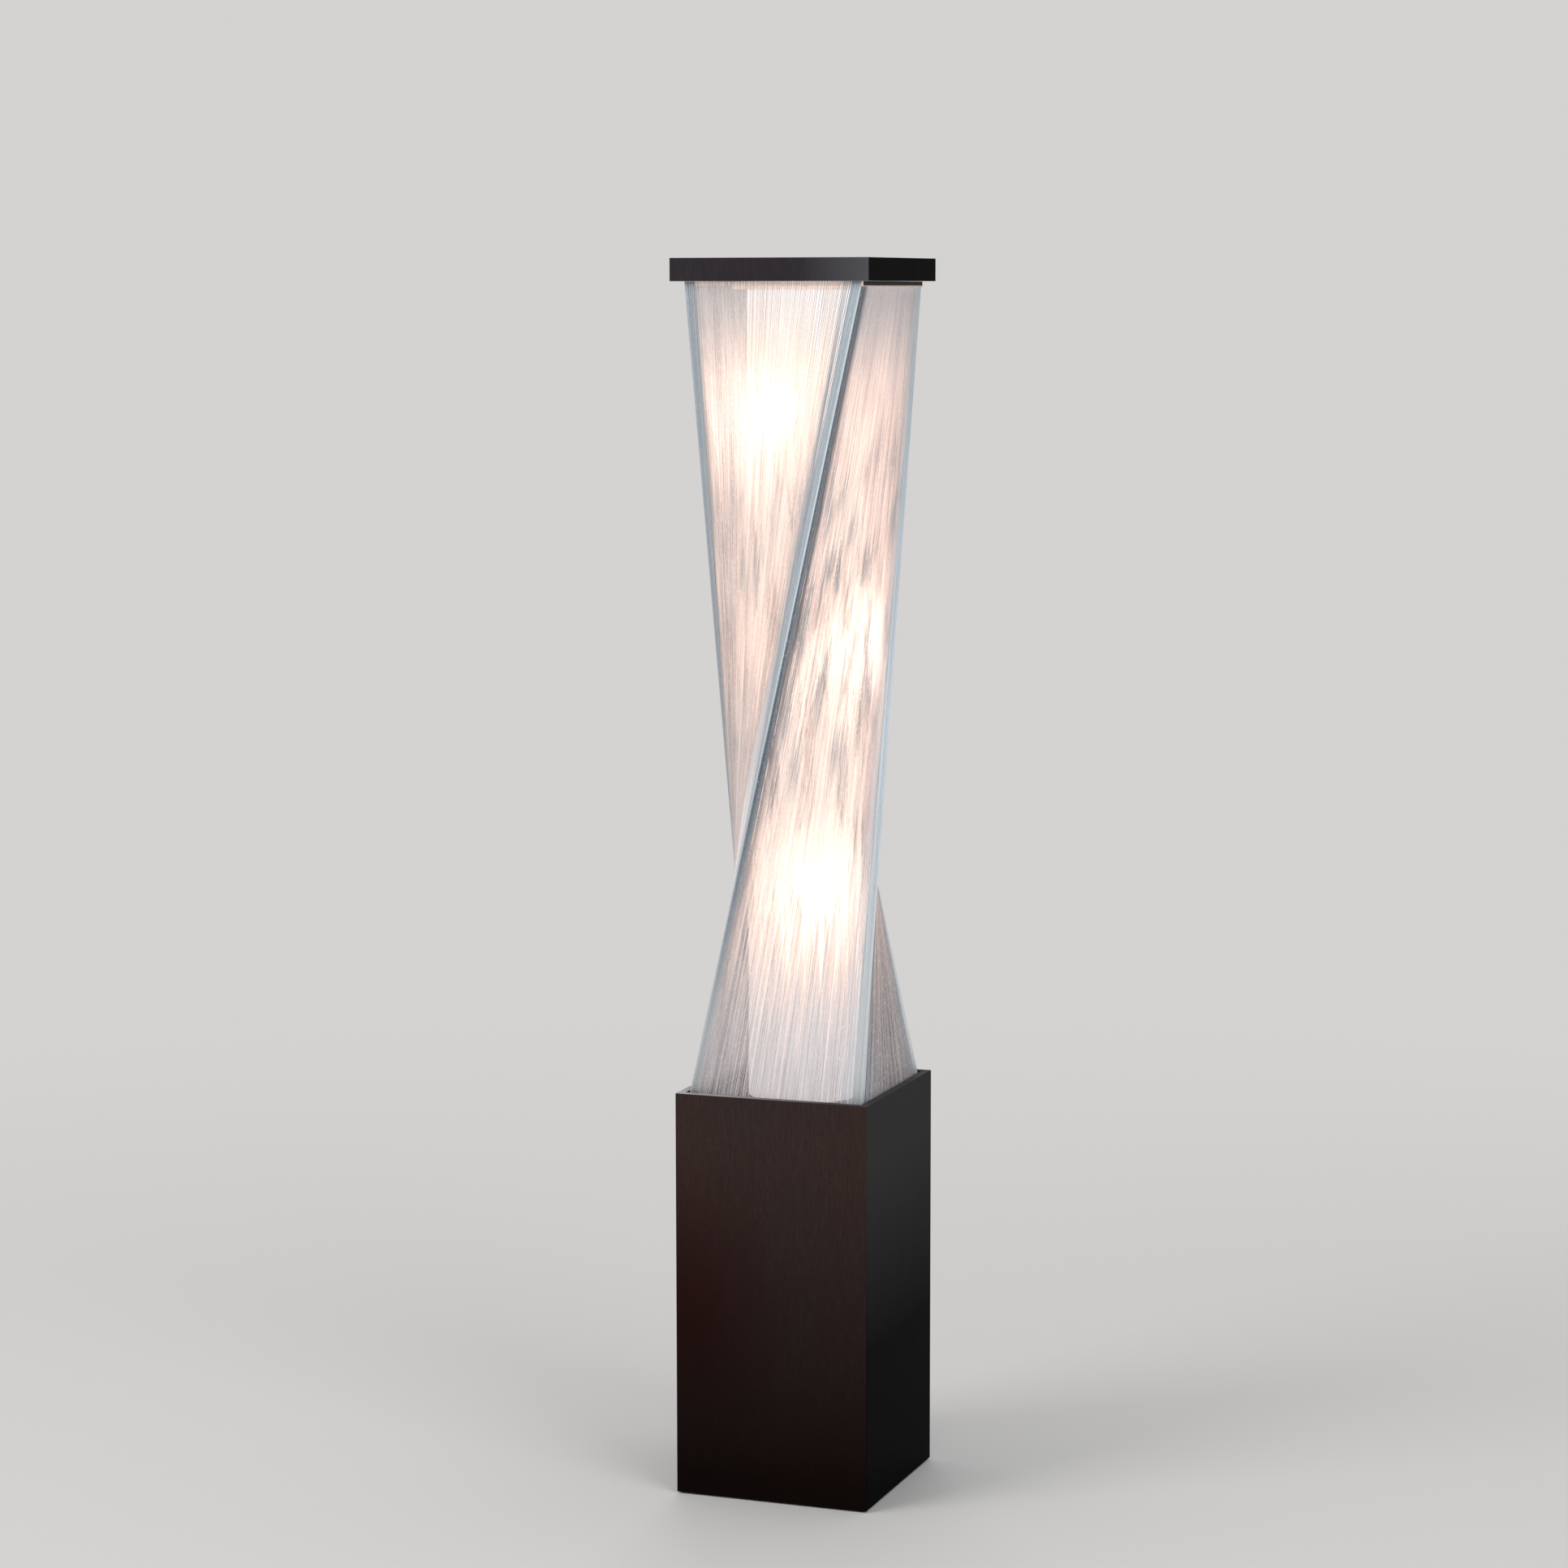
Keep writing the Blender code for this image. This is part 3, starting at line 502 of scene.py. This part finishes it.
def string_spot(made, scale, roughness, own_share):
    """A point on a string: its place in the string map, its share of its wall, its climb, and its tone.

    Part of the tone is a random number of the string's own, also kept, and the rest runs along the strings.
    """
    spot = SimpleNamespace()
    spot.uv = made.add("ShaderNodeUVMap", uv_map="strings").outputs[0]
    across, spot.climb = made.parts(spot.uv)[:2]
    spot.share = made.math("FRACT", across)
    own = made.add("ShaderNodeTexWhiteNoise", noise_dimensions="1D")
    made.put(own.inputs["W"], across)
    spot.own = own.outputs[0]
    runs = made.grain(spot.uv, scale, 4.0, roughness)
    rest = made.spread(runs, *STRING_NOISE_RANGE, 0.0, 1 - own_share)
    spot.tone = made.plus(made.times(spot.own, own_share), rest)
    return spot


def wall_colours(made, look, spot):
    """A wall's colour with painted highlights, and how much painted shade and light its first and last
    strings show.
    """
    # Painted shade low down: the dark tone is scaled by low_shade there
    low_dark = scaled(look.dark, look.low_shade)
    dark = made.mix(made.spread(spot.climb, *DEEP_CLIMBS), low_dark, look.dark)
    cooler = made.spread(spot.climb, *COOL_CLIMBS, 0.0, look.cool)
    cool_tone = made.mix(spot.tone, (0.56, 0.62, 0.70), WHITE)
    colour = made.mix(cooler, made.mix(spot.tone, dark, look.pale), cool_tone)
    # Painted highlights: fine white specks along the strings
    painted_glints = made.grain(spot.uv, PAINTED_GLINT_SCALE, 1.0)
    colour = made.mix(made.spread(painted_glints, 0.56, 0.72, 0.0, 0.7), colour, WHITE)
    # Painted shade on the wall's first strings, showing less low down
    lower = made.spread(spot.climb, *START_CLIMBS, look.start_low, 1.0)
    starts = made.times(made.spread(spot.share, *look.start_shares, 0.92, 0.0), lower)
    colour = made.mix(starts, colour, made.mix(spot.tone, *look.start_tones))
    # Painted light on the wall's last strings, which lie wider low down
    late = made.plus(spot.share, made.spread(spot.climb, *END_WIDTH_CLIMBS, look.end_wider, 0.0))
    ends = made.spread(late, *END_SHARES, 0.0, look.end_weight)
    low_last, high_last = made.mix(spot.tone, *look.end_low_tones), made.mix(spot.tone, *look.end_tones)
    last = made.mix(made.spread(spot.climb, *END_TONE_CLIMBS), low_last, high_last)
    return made.mix(ends, colour, last), starts, ends


def wall_spill(made, look, spot, starts):
    """Strength of the bulbs' light painted on a wall as glow, with painted shadow blotches at the waist and
    dim ends.
    """
    rise = made.spread(spot.own, 0.0, 1.0, -WALL_FRAY, WALL_FRAY)
    field = glow_field(made, WALL_SOFTNESS, look.power, made.place(), rise)
    spill = made.times(field, made.spread(spot.tone, 0.1, 0.9, 0.50, 1.50))
    spill = made.times(spill, made.spread(spot.climb, *POWER_CLIMBS, look.low_power, 1.0))
    spill = made.times(spill, made.spread(spot.share, *DIM_SHARES, look.dim, 1.0))
    # Painted shadows: blotches that darken the glow at the waist, as deep as the wall's depth
    below_top = made.spread(spot.climb, *WAIST_TOP_CLIMBS, 1.0, 0.0)
    waist = made.math("MINIMUM", made.spread(spot.climb, *WAIST_CLIMBS), below_top)
    lightest = 0.88
    deepest = made.spread(waist, 0.0, 1.0, lightest, lightest - look.depth)
    shift = made.spread(spot.own, 0.0, 1.0, -SHADOW_BLOTCH_FRAY_CLIMB, SHADOW_BLOTCH_FRAY_CLIMB)
    shadow_blotches = made.grain(made.shifted(spot.uv, 1, shift), SHADOW_BLOTCH_SCALE, 2.0)
    spill = made.times(spill, made.spread(shadow_blotches, 0.40, 0.50, deepest, 1.12))
    # Painted shade under the top plate: the glow fades near the top
    spill = made.times(spill, made.spread(spot.climb, *FADE_CLIMBS, 1.0, 0.25))
    edges = made.larger(starts, made.spread(spot.share, *END_LIGHT_SHARES, 0.0, look.end_weight))
    return made.times(spill, made.spread(edges, 0.0, 1.0, 1.0, 0.08))


def wall_finish(name, look):
    """Silver string with the column's warm light painted on as glow, in streaks and painted shadow blotches
    along it.
    """
    made = Nodes("silver_string_" + name)
    spot = string_spot(made, RUN_SCALE, 0.65, 0.6)
    colour, starts, ends = wall_colours(made, look, spot)
    spill = wall_spill(made, look, spot, starts)
    made.give("Base Color", colour)
    made.give("Roughness", 0.38)
    made.give("Specular IOR Level", 0.5)
    orange, cream = (1.0, 0.60, 0.44), (1.0, 0.80, 0.66)
    # Painted light: the string glows with the bulbs' light, its colour and strength taken from the spill
    made.give("Emission Color", made.mix(made.spread(spill, 0.35, 1.3), orange, cream))
    made.give("Emission Strength", spill)
    clearness = made.spread(made.larger(starts, ends), 0.0, 1.0, 0.55, 0.04)
    made.show_mixed(clearness, made.shader.outputs[0], made.clear())
    return made.lights_nothing()


def bundle_finish(name, shadow, shine):
    """Steel-blue bundle: painted light where a wall ends, painted shade where the next one starts, more so
    higher up.
    """
    made = Nodes(name)
    spot = string_spot(made, STRAND_SCALE, 0.7, 0.7)
    blue, pale_blue = scaled((0.38, 0.46, 0.53), shine), scaled((0.90, 0.96, 1.0), shine)
    low, high = made.mix(spot.tone, (0.74, 0.80, 0.85), WHITE), made.mix(spot.tone, blue, pale_blue)
    pale = made.mix(made.spread(spot.climb, 0.05, 0.35), low, high)
    dark = made.mix(spot.tone, (0.030, 0.040, 0.060), (0.34, 0.39, 0.45))
    # Painted shade on the side where a wall starts; the pale side is painted light on the blue strings
    starts = made.spread(spot.share, 0.35, 0.45, shadow, 0.0)
    higher = made.times(starts, made.spread(spot.climb, *START_CLIMBS, 0.10, 1.0))
    colour = made.mix(higher, pale, dark)
    # Painted highlights: fine pale specks along the bundle's strings
    painted_glints = made.grain(spot.uv, BAND_PAINTED_GLINT_SCALE, 1.0)
    made.give("Base Color", made.mix(made.spread(painted_glints, 0.58, 0.74, 0.0, 0.4), colour, (0.95, 0.97, 1.0)))
    made.give("Roughness", 0.42)
    made.give("Specular IOR Level", 0.4)
    return made.material


def plate_finish():
    """Black metal at the top, with painted light from the column on its underside and inner parts behind the
    strings.
    """
    made = Nodes("black_top_plate")
    grain = made.grain(made.place(), EVEN_GRAIN_SCALE)
    place, facing = made.place_parts(), made.facing_parts()
    reach = [made.times(place[k], made.larger(facing[k], 0.0)) for k in range(2)]
    outer_side = made.spread(made.larger(*reach), *PLATE_OUTER_REACHES)
    # Painted light: all but the two outer sides and the upward faces is pale and glows
    unlit = made.larger(outer_side, made.spread(facing[2], 0.4, 0.6))
    black = made.mix(grain, (0.004, 0.004, 0.005), (0.012, 0.011, 0.012))
    made.give("Base Color", made.mix(unlit, (0.70, 0.62, 0.58), black))
    made.give("Roughness", 0.5)
    made.give("Specular IOR Level", 0.1)
    made.give("Emission Color", (1.0, 0.80, 0.70, 1.0))
    made.give("Emission Strength", made.spread(unlit, 0.0, 1.0, 0.45, 0.0))
    return made.lights_nothing()


def seen_rays(tree):
    """One for the rays that show the backdrop: from the camera, in a reflection or through glass."""
    rays = tree.nodes.new("ShaderNodeLightPath")
    seen = rays.outputs["Is Camera Ray"]
    for kind in ("Is Glossy Ray", "Is Transmission Ray"):
        either = tree.nodes.new("ShaderNodeMath")
        either.operation = "MAXIMUM"
        tree.links.new(seen, either.inputs[0])
        tree.links.new(rays.outputs[kind], either.inputs[1])
        seen = either.outputs[0]
    return seen


def floor_finish():
    """Pale floor that keeps the lamp's shadow and fades into the backdrop's colour further out."""
    made = Nodes("pale_floor")
    made.give("Base Color", (*FLOOR_TONE, 1.0))
    made.give("Roughness", 0.9)
    made.give("Specular IOR Level", 0.1)
    out = made.vector("LENGTH", made.place())
    far = made.times(made.spread(out, FADE_START, FADE_END, kind="SMOOTHSTEP"), seen_rays(made.tree))
    made.show_mixed(far, made.shader.outputs[0], made.glow((*BACKDROP, 1.0), 1.0))
    return made.material


def new_piece(name, points, faces, finish, smooth=False):
    mesh = bpy.data.meshes.new(name)
    mesh.from_pydata(points, [], faces)
    mesh.materials.append(finish)
    if smooth:
        mesh.shade_smooth()
    mesh.update()
    made = bpy.data.objects.new(name, mesh)
    bpy.context.scene.collection.objects.link(made)
    return made


def corner_place(index, side):
    """One corner of a square plan, from front left anticlockwise."""
    angle = -3 * math.pi / 4 + index * math.pi / 2
    reach = side / math.sqrt(2)
    return Vector((reach * math.cos(angle), reach * math.sin(angle)))


def wall_line(index, low_share, high_share, inset):
    """Both ends of a straight string: each share runs along the wall's lower or upper side."""
    bottom = BOTTOM_SIDE - 2 * inset
    top = TOP_SIDE - 2 * inset
    low = corner_place(index, bottom).lerp(corner_place(index + 1, bottom), low_share)
    high = corner_place(index + 1, top).lerp(corner_place(index + 2, top), high_share)
    return Vector((low.x, low.y, COLUMN_LOW)), Vector((high.x, high.y, COLUMN_HIGH))


def gathered_share(share, wall):
    """Where a string's end is held: near the middle of its notch, or of the next one if its own is empty."""
    notch = math.floor(share * NOTCHES)
    for empty_wall, empty_share in EMPTY_NOTCHES:
        if wall == empty_wall and notch == math.floor(empty_share * NOTCHES):
            notch += 1 if share * NOTCHES - notch > 0.5 else -1
    middle = (notch + 0.5) / NOTCHES
    return share + (middle - share) * GATHER_SHARE


def near_share(dice, share, pitch):
    """A share moved a little at random, within its pitch."""
    return share + dice.uniform(-1, 1) * STRING_JITTER_SHARE * pitch


class StringMesh:
    """Gathers strings into one mesh, with each string's place across the walls and its climb as a UV."""

    def __init__(self):
        self.points = []
        self.faces = []
        self.uvs = []

    def string_points(self, wall, low_share, high_share, inset, gathers):
        """A string's points with their climbs: straight, but for the ends that notches hold."""
        start, end = wall_line(wall, low_share, high_share, inset)
        line = [(start, 0.0), (end, 1.0)]
        if gathers:
            held_low = wall_line(wall, gathered_share(low_share, wall), high_share, inset)[0]
            line = [(held_low, 0.0), (start.lerp(end, GATHER_CLIMB), GATHER_CLIMB), (end, 1.0)]
        if wall in WALLS_TO_CAP:
            rise = CAP_UNDERSIDE - FIT_GAP - COLUMN_HIGH
            last = line[-1][0] + (end - start) * (rise / (end.z - start.z))
            line.append((last, 1.0))
        return line

    def add(self, wall, low_share, high_share, inset, radius, gathers=False, across=None):
        wall %= CORNERS
        line = self.string_points(wall, low_share, high_share, inset, gathers)
        along = (line[-1][0] - line[0][0]).normalized()
        side = along.cross(Vector((0, 0, 1))).normalized()
        other = along.cross(side)
        first = len(self.points)
        for centre, climb in line:
            for k in range(STRING_SIDES):
                angle = 2 * math.pi * k / STRING_SIDES
                self.points.append(centre + (side * math.cos(angle) + other * math.sin(angle)) * radius)
        across = wall + low_share if across is None else across
        for i in range(len(line) - 1):
            low = first + i * STRING_SIDES
            for k in range(STRING_SIDES):
                n = (k + 1) % STRING_SIDES
                self.faces.append((low + k, low + n, low + STRING_SIDES + n, low + STRING_SIDES + k))
                below, above = (across, line[i][1]), (across, line[i + 1][1])
                self.uvs += [below, below, above, above]
        last = first + (len(line) - 1) * STRING_SIDES
        self.faces.append([first + k for k in range(STRING_SIDES)][::-1])
        self.faces.append([last + k for k in range(STRING_SIDES)])
        self.uvs += [(across, 0.0)] * STRING_SIDES + [(across, 1.0)] * STRING_SIDES

    def piece(self, name, finish):
        made = new_piece(name, self.points, self.faces, finish, smooth=True)
        layer = made.data.uv_layers.new(name="strings")
        for spot, uv in zip(layer.data, self.uvs):
            spot.uv = uv
        return made


def string_wall(index, side_name, finish, dice):
    """Two layers of strings between a wall's two corner bundles."""
    gathered = StringMesh()
    edge_share = CORNER_BAND / BOTTOM_SIDE
    pitch = (1 - 2 * edge_share) / STRINGS_PER_LAYER
    for inset in LAYER_INSETS:
        for i in range(STRINGS_PER_LAYER):
            middle = edge_share + (i + 0.5) * pitch
            low = near_share(dice, middle, pitch)
            high = near_share(dice, middle, pitch)
            radius = STRING_RADIUS * (1 + dice.uniform(-1, 1) * STRING_RADIUS_SPREAD_SHARE)
            gathered.add(index, low, high, inset, radius, gathers=True)
    made = gathered.piece("strings_" + side_name, finish)
    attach(made, "stand")
    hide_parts("string_wall_" + side_name)


def string_corner(index, corner_name, finish, dice):
    """A dense bundle round a corner, on the ends of the two walls that meet there."""
    gathered = StringMesh()
    count = int(CORNER_BAND / BAND_PITCH)
    pitch = CORNER_BAND / BOTTOM_SIDE / count
    for inset in BAND_INSETS:
        for i in range(count):
            for wall, start, step in ((index, 0.0, pitch), (index - 1, 1.0, -pitch)):
                share = start + (i + 0.5) * step
                low = near_share(dice, share, pitch)
                high = near_share(dice, share, pitch)
                gathered.add(wall, low, high, inset, BAND_STRING_RADIUS)
    across = index + EDGE_STRING_SHARE
    gathered.add(index, 0.0, 0.0, EDGE_STRING_RADIUS, EDGE_STRING_RADIUS, across=across)
    made = gathered.piece("string_bundle_" + corner_name, finish)
    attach(made, "stand")
    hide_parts("string_corner_" + corner_name)


def make_column():
    dice = random.Random(STRING_SEED)
    for i, (side_name, look) in enumerate(WALLS.items()):
        string_wall(i, side_name, wall_finish(side_name, look), dice)
    for i, (corner_name, (shadow, shine)) in enumerate(BUNDLES.items()):
        string_corner(i, corner_name, bundle_finish("blue_string_" + corner_name, shadow, shine), dice)


def add_box(points, faces, low, high):
    """Adds a closed box to lists of points and faces."""
    first = len(points)
    points += [(x, y, z) for z in (low[2], high[2]) for y in (low[1], high[1]) for x in (low[0], high[0])]
    for quad in ((0, 2, 3, 1), (4, 5, 7, 6), (0, 1, 5, 4), (2, 6, 7, 3), (0, 4, 6, 2), (1, 3, 7, 5)):
        faces.append(tuple(first + k for k in quad))


def add_square(points, low, high, height):
    """Adds a level square's corners, from front left anticlockwise."""
    points += [(low, low, height), (high, low, height), (high, high, height), (low, high, height)]


def make_top_plate(finish):
    """The plate that holds the strings: a square ring, with teeth on the two sides that stand out."""
    low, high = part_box("top_string_plate")
    far = high[0]
    near = -PLATE_NEAR_REACH
    hole = PLATE_OPENING / 2
    points = []
    faces = []
    for height in (low[2], high[2]):
        add_square(points, near, far, height)
        add_square(points, -hole, hole, height)
    hole_low, rim_high, hole_high = CORNERS, 2 * CORNERS, 3 * CORNERS
    for k in range(CORNERS):
        n = (k + 1) % CORNERS
        faces.append((k, hole_low + k, hole_low + n, n))
        faces.append((rim_high + k, rim_high + n, hole_high + n, hole_high + k))
        faces.append((k, n, rim_high + n, rim_high + k))
        faces.append((hole_low + n, hole_low + k, hole_high + k, hole_high + n))
    pitch = (far - near) / TEETH_PER_SIDE
    width = pitch * TOOTH_WIDTH_SHARE
    for i in range(TEETH_PER_SIDE):
        start = near + (i + 0.5) * pitch - width / 2
        bottom = low[2] - TOOTH_DROP
        add_box(points, faces, (far - TOOTH_DEPTH, start, bottom), (far, start + width, low[2] + FIT_GAP))
        add_box(points, faces, (start, far - TOOTH_DEPTH, bottom), (start + width, far, low[2] + FIT_GAP))
    made = new_piece("toothed_top_plate", points, faces, finish)
    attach(made, "stand")
    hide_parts("top_string_plate")


def make_tube():
    """The diffuser: a round tube with a wall, open at both ends."""
    low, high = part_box("diffuser_tube")
    outer = high[0]
    loop = [(outer, low[2]), (outer, high[2]), (outer - TUBE_WALL, high[2]), (outer - TUBE_WALL, low[2])]
    points = []
    faces = []
    for i in range(TUBE_SIDES):
        angle = 2 * math.pi * i / TUBE_SIDES
        for radius, height in loop:
            points.append((radius * math.cos(angle), radius * math.sin(angle), height))
    for i in range(TUBE_SIDES):
        here, after = len(loop) * i, len(loop) * ((i + 1) % TUBE_SIDES)
        for k in range(len(loop)):
            m = (k + 1) % len(loop)
            faces.append((here + k, after + k, after + m, here + m))
    made = new_piece("frosted_tube", points, faces, tube_finish(), smooth=True)
    made.data.set_sharp_from_angle(angle=TUBE_SHARP_ANGLE)
    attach(made, "stand")
    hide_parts("diffuser_tube")


def make_case():
    """The base's four walls under one unbroken coat of lacquer, with a flat rim and fine round edges."""
    low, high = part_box("base_front_panel")
    outer = -low[1]
    inner = outer - CASE_WALL
    profile = ((outer, low[2]), (outer, high[2]), (inner, high[2]), (inner, low[2]))
    points = []
    for reach, height in profile:
        add_square(points, -reach, reach, height)
    faces = []
    for ring in range(len(profile)):
        here, after = CORNERS * ring, CORNERS * ((ring + 1) % len(profile))
        for k in range(CORNERS):
            n = (k + 1) % CORNERS
            faces.append((here + k, here + n, after + n, after + k))
    made = new_piece("base_case", points, faces, case_finish())
    edge = made.modifiers.new("edge", "BEVEL")
    edge.width = CASE_EDGE
    edge.segments = CASE_EDGE_STEPS
    edge.harden_normals = True
    made.data.shade_smooth()
    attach(made, "stand")
    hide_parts("base_front_panel", "base_right_panel", "base_back_panel", "base_left_panel")


def dress(finish, *nodes):
    """Gives CAD nodes a finish."""
    for name in nodes:
        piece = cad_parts[name]
        for spot in piece.material_slots:
            spot.material = finish


def nodes_named(start):
    return [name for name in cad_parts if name.startswith(start)]


def dress_inside():
    """Finishes of what the base and the column hold."""
    light_wood, dark_wood = (0.48, 0.36, 0.24), (0.36, 0.25, 0.15)
    board = plain_finish("raw_board", dark_wood, light_wood, 0.75, grain=BOARD_GRAIN_SCALE, bump=0.2)
    iron = plain_finish("cast_iron", (0.06, 0.06, 0.062), (0.10, 0.10, 0.105), 0.65, 0.6, bump=0.3)
    rubber = plain_finish("foot_rubber", (0.012, 0.012, 0.012), (0.022, 0.022, 0.022), 0.85)
    plastic = plain_finish("inlet_plastic", (0.010, 0.010, 0.010), (0.018, 0.018, 0.018), 0.5)
    porcelain = plain_finish("porcelain", (0.74, 0.73, 0.70), (0.80, 0.79, 0.76), 0.2)
    brass = plain_finish("rolled_brass", (0.66, 0.52, 0.28), (0.76, 0.62, 0.36), 0.3, 1.0)
    white = plain_finish("white_enamel", (0.72, 0.71, 0.68), (0.80, 0.79, 0.76), 0.6)
    zinc = plain_finish("zinc_plate", (0.55, 0.55, 0.54), (0.66, 0.66, 0.65), 0.35, 1.0)
    steel = plain_finish("grey_steel", (0.05, 0.05, 0.052), (0.075, 0.075, 0.078), 0.45)
    dress(board, "base_floor_board", "cap_locating_frame", *nodes_named("corner_block_"))
    dress(iron, "ballast_plate")
    dress(rubber, *nodes_named("foot_"))
    dress(plastic, *nodes_named("cord_inlet_"))
    dress(porcelain, *("socket_" + name for name in BULB_NAMES))
    dress(brass, *nodes_named("screw_cap_"))
    dress(white, "diffuser_seat_disc")
    for start in ("centre_pole", "pole_nut_", "arm_nut_", "socket_arm_", "plate_screw_"):
        dress(zinc, *nodes_named(start))
    dress(steel, "lower_string_plate")
    dress(bulb_finish(), *nodes_named("bulb_glass_"))


def dress_top():
    """The black metal that holds the strings, and the cap over it."""
    black = plate_finish()
    # The cross bar takes the plate's finish, with its painted light underneath
    dress(black, "top_cross_bar")
    make_top_plate(black)
    dress(cap_finish(), "cap_plate")


def make_floor():
    points = [(0.0, 0.0, 0.0)]
    for i in range(FLOOR_SIDES):
        angle = 2 * math.pi * i / FLOOR_SIDES
        points.append((FLOOR_RADIUS * math.cos(angle), FLOOR_RADIUS * math.sin(angle), 0.0))
    faces = [(0, 1 + i, 1 + (i + 1) % FLOOR_SIDES) for i in range(FLOOR_SIDES)]
    new_piece("studio_floor", points, faces, floor_finish())


def make_world():
    """Even soft light, behind which the camera and reflections see the plain backdrop."""
    world = bpy.data.worlds.new("studio")
    bpy.context.scene.world = world
    world.use_nodes = True
    tree = world.node_tree
    light = tree.nodes["Background"]
    light.inputs["Color"].default_value = (*WORLD_TONE, 1.0)
    light.inputs["Strength"].default_value = WORLD_STRENGTH
    backdrop = tree.nodes.new("ShaderNodeBackground")
    backdrop.inputs["Color"].default_value = (*BACKDROP, 1.0)
    mixed = tree.nodes.new("ShaderNodeMixShader")
    tree.links.new(seen_rays(tree), mixed.inputs[0])
    tree.links.new(light.outputs[0], mixed.inputs[1])
    tree.links.new(backdrop.outputs[0], mixed.inputs[2])
    tree.links.new(mixed.outputs[0], tree.nodes["World Output"].inputs["Surface"])


def make_lights():
    for name, place, width, power, colour in LAMPS:
        lamp = bpy.data.lights.new(name, "AREA")
        lamp.size = width
        lamp.energy = power
        lamp.color = colour
        made = bpy.data.objects.new(name, lamp)
        made.location = place
        aim = LAMP_AIM - Vector(place)
        made.rotation_euler = aim.to_track_quat("-Z", "Y").to_euler()
        bpy.context.scene.collection.objects.link(made)


def make_camera():
    lens = bpy.data.cameras.new("camera")
    lens.lens = CAMERA_LENS
    lens.sensor_width = CAMERA_SENSOR
    lens.sensor_fit = "HORIZONTAL"
    lens.clip_end = CAMERA_RANGE
    made = bpy.data.objects.new("camera", lens)
    made.location = CAMERA_PLACE
    turn = CAMERA_FORWARD.to_track_quat("-Z", "Y")
    roll = Quaternion((0, 0, 1), CAMERA_ROLL)
    made.rotation_euler = (turn @ roll).to_euler()
    bpy.context.scene.collection.objects.link(made)
    bpy.context.scene.camera = made


def main():
    bpy.context.scene.view_settings.view_transform = "Standard"
    make_camera()
    make_floor()
    make_world()
    make_lights()
    dress_inside()
    dress_top()
    make_case()
    make_tube()
    make_column()


main()
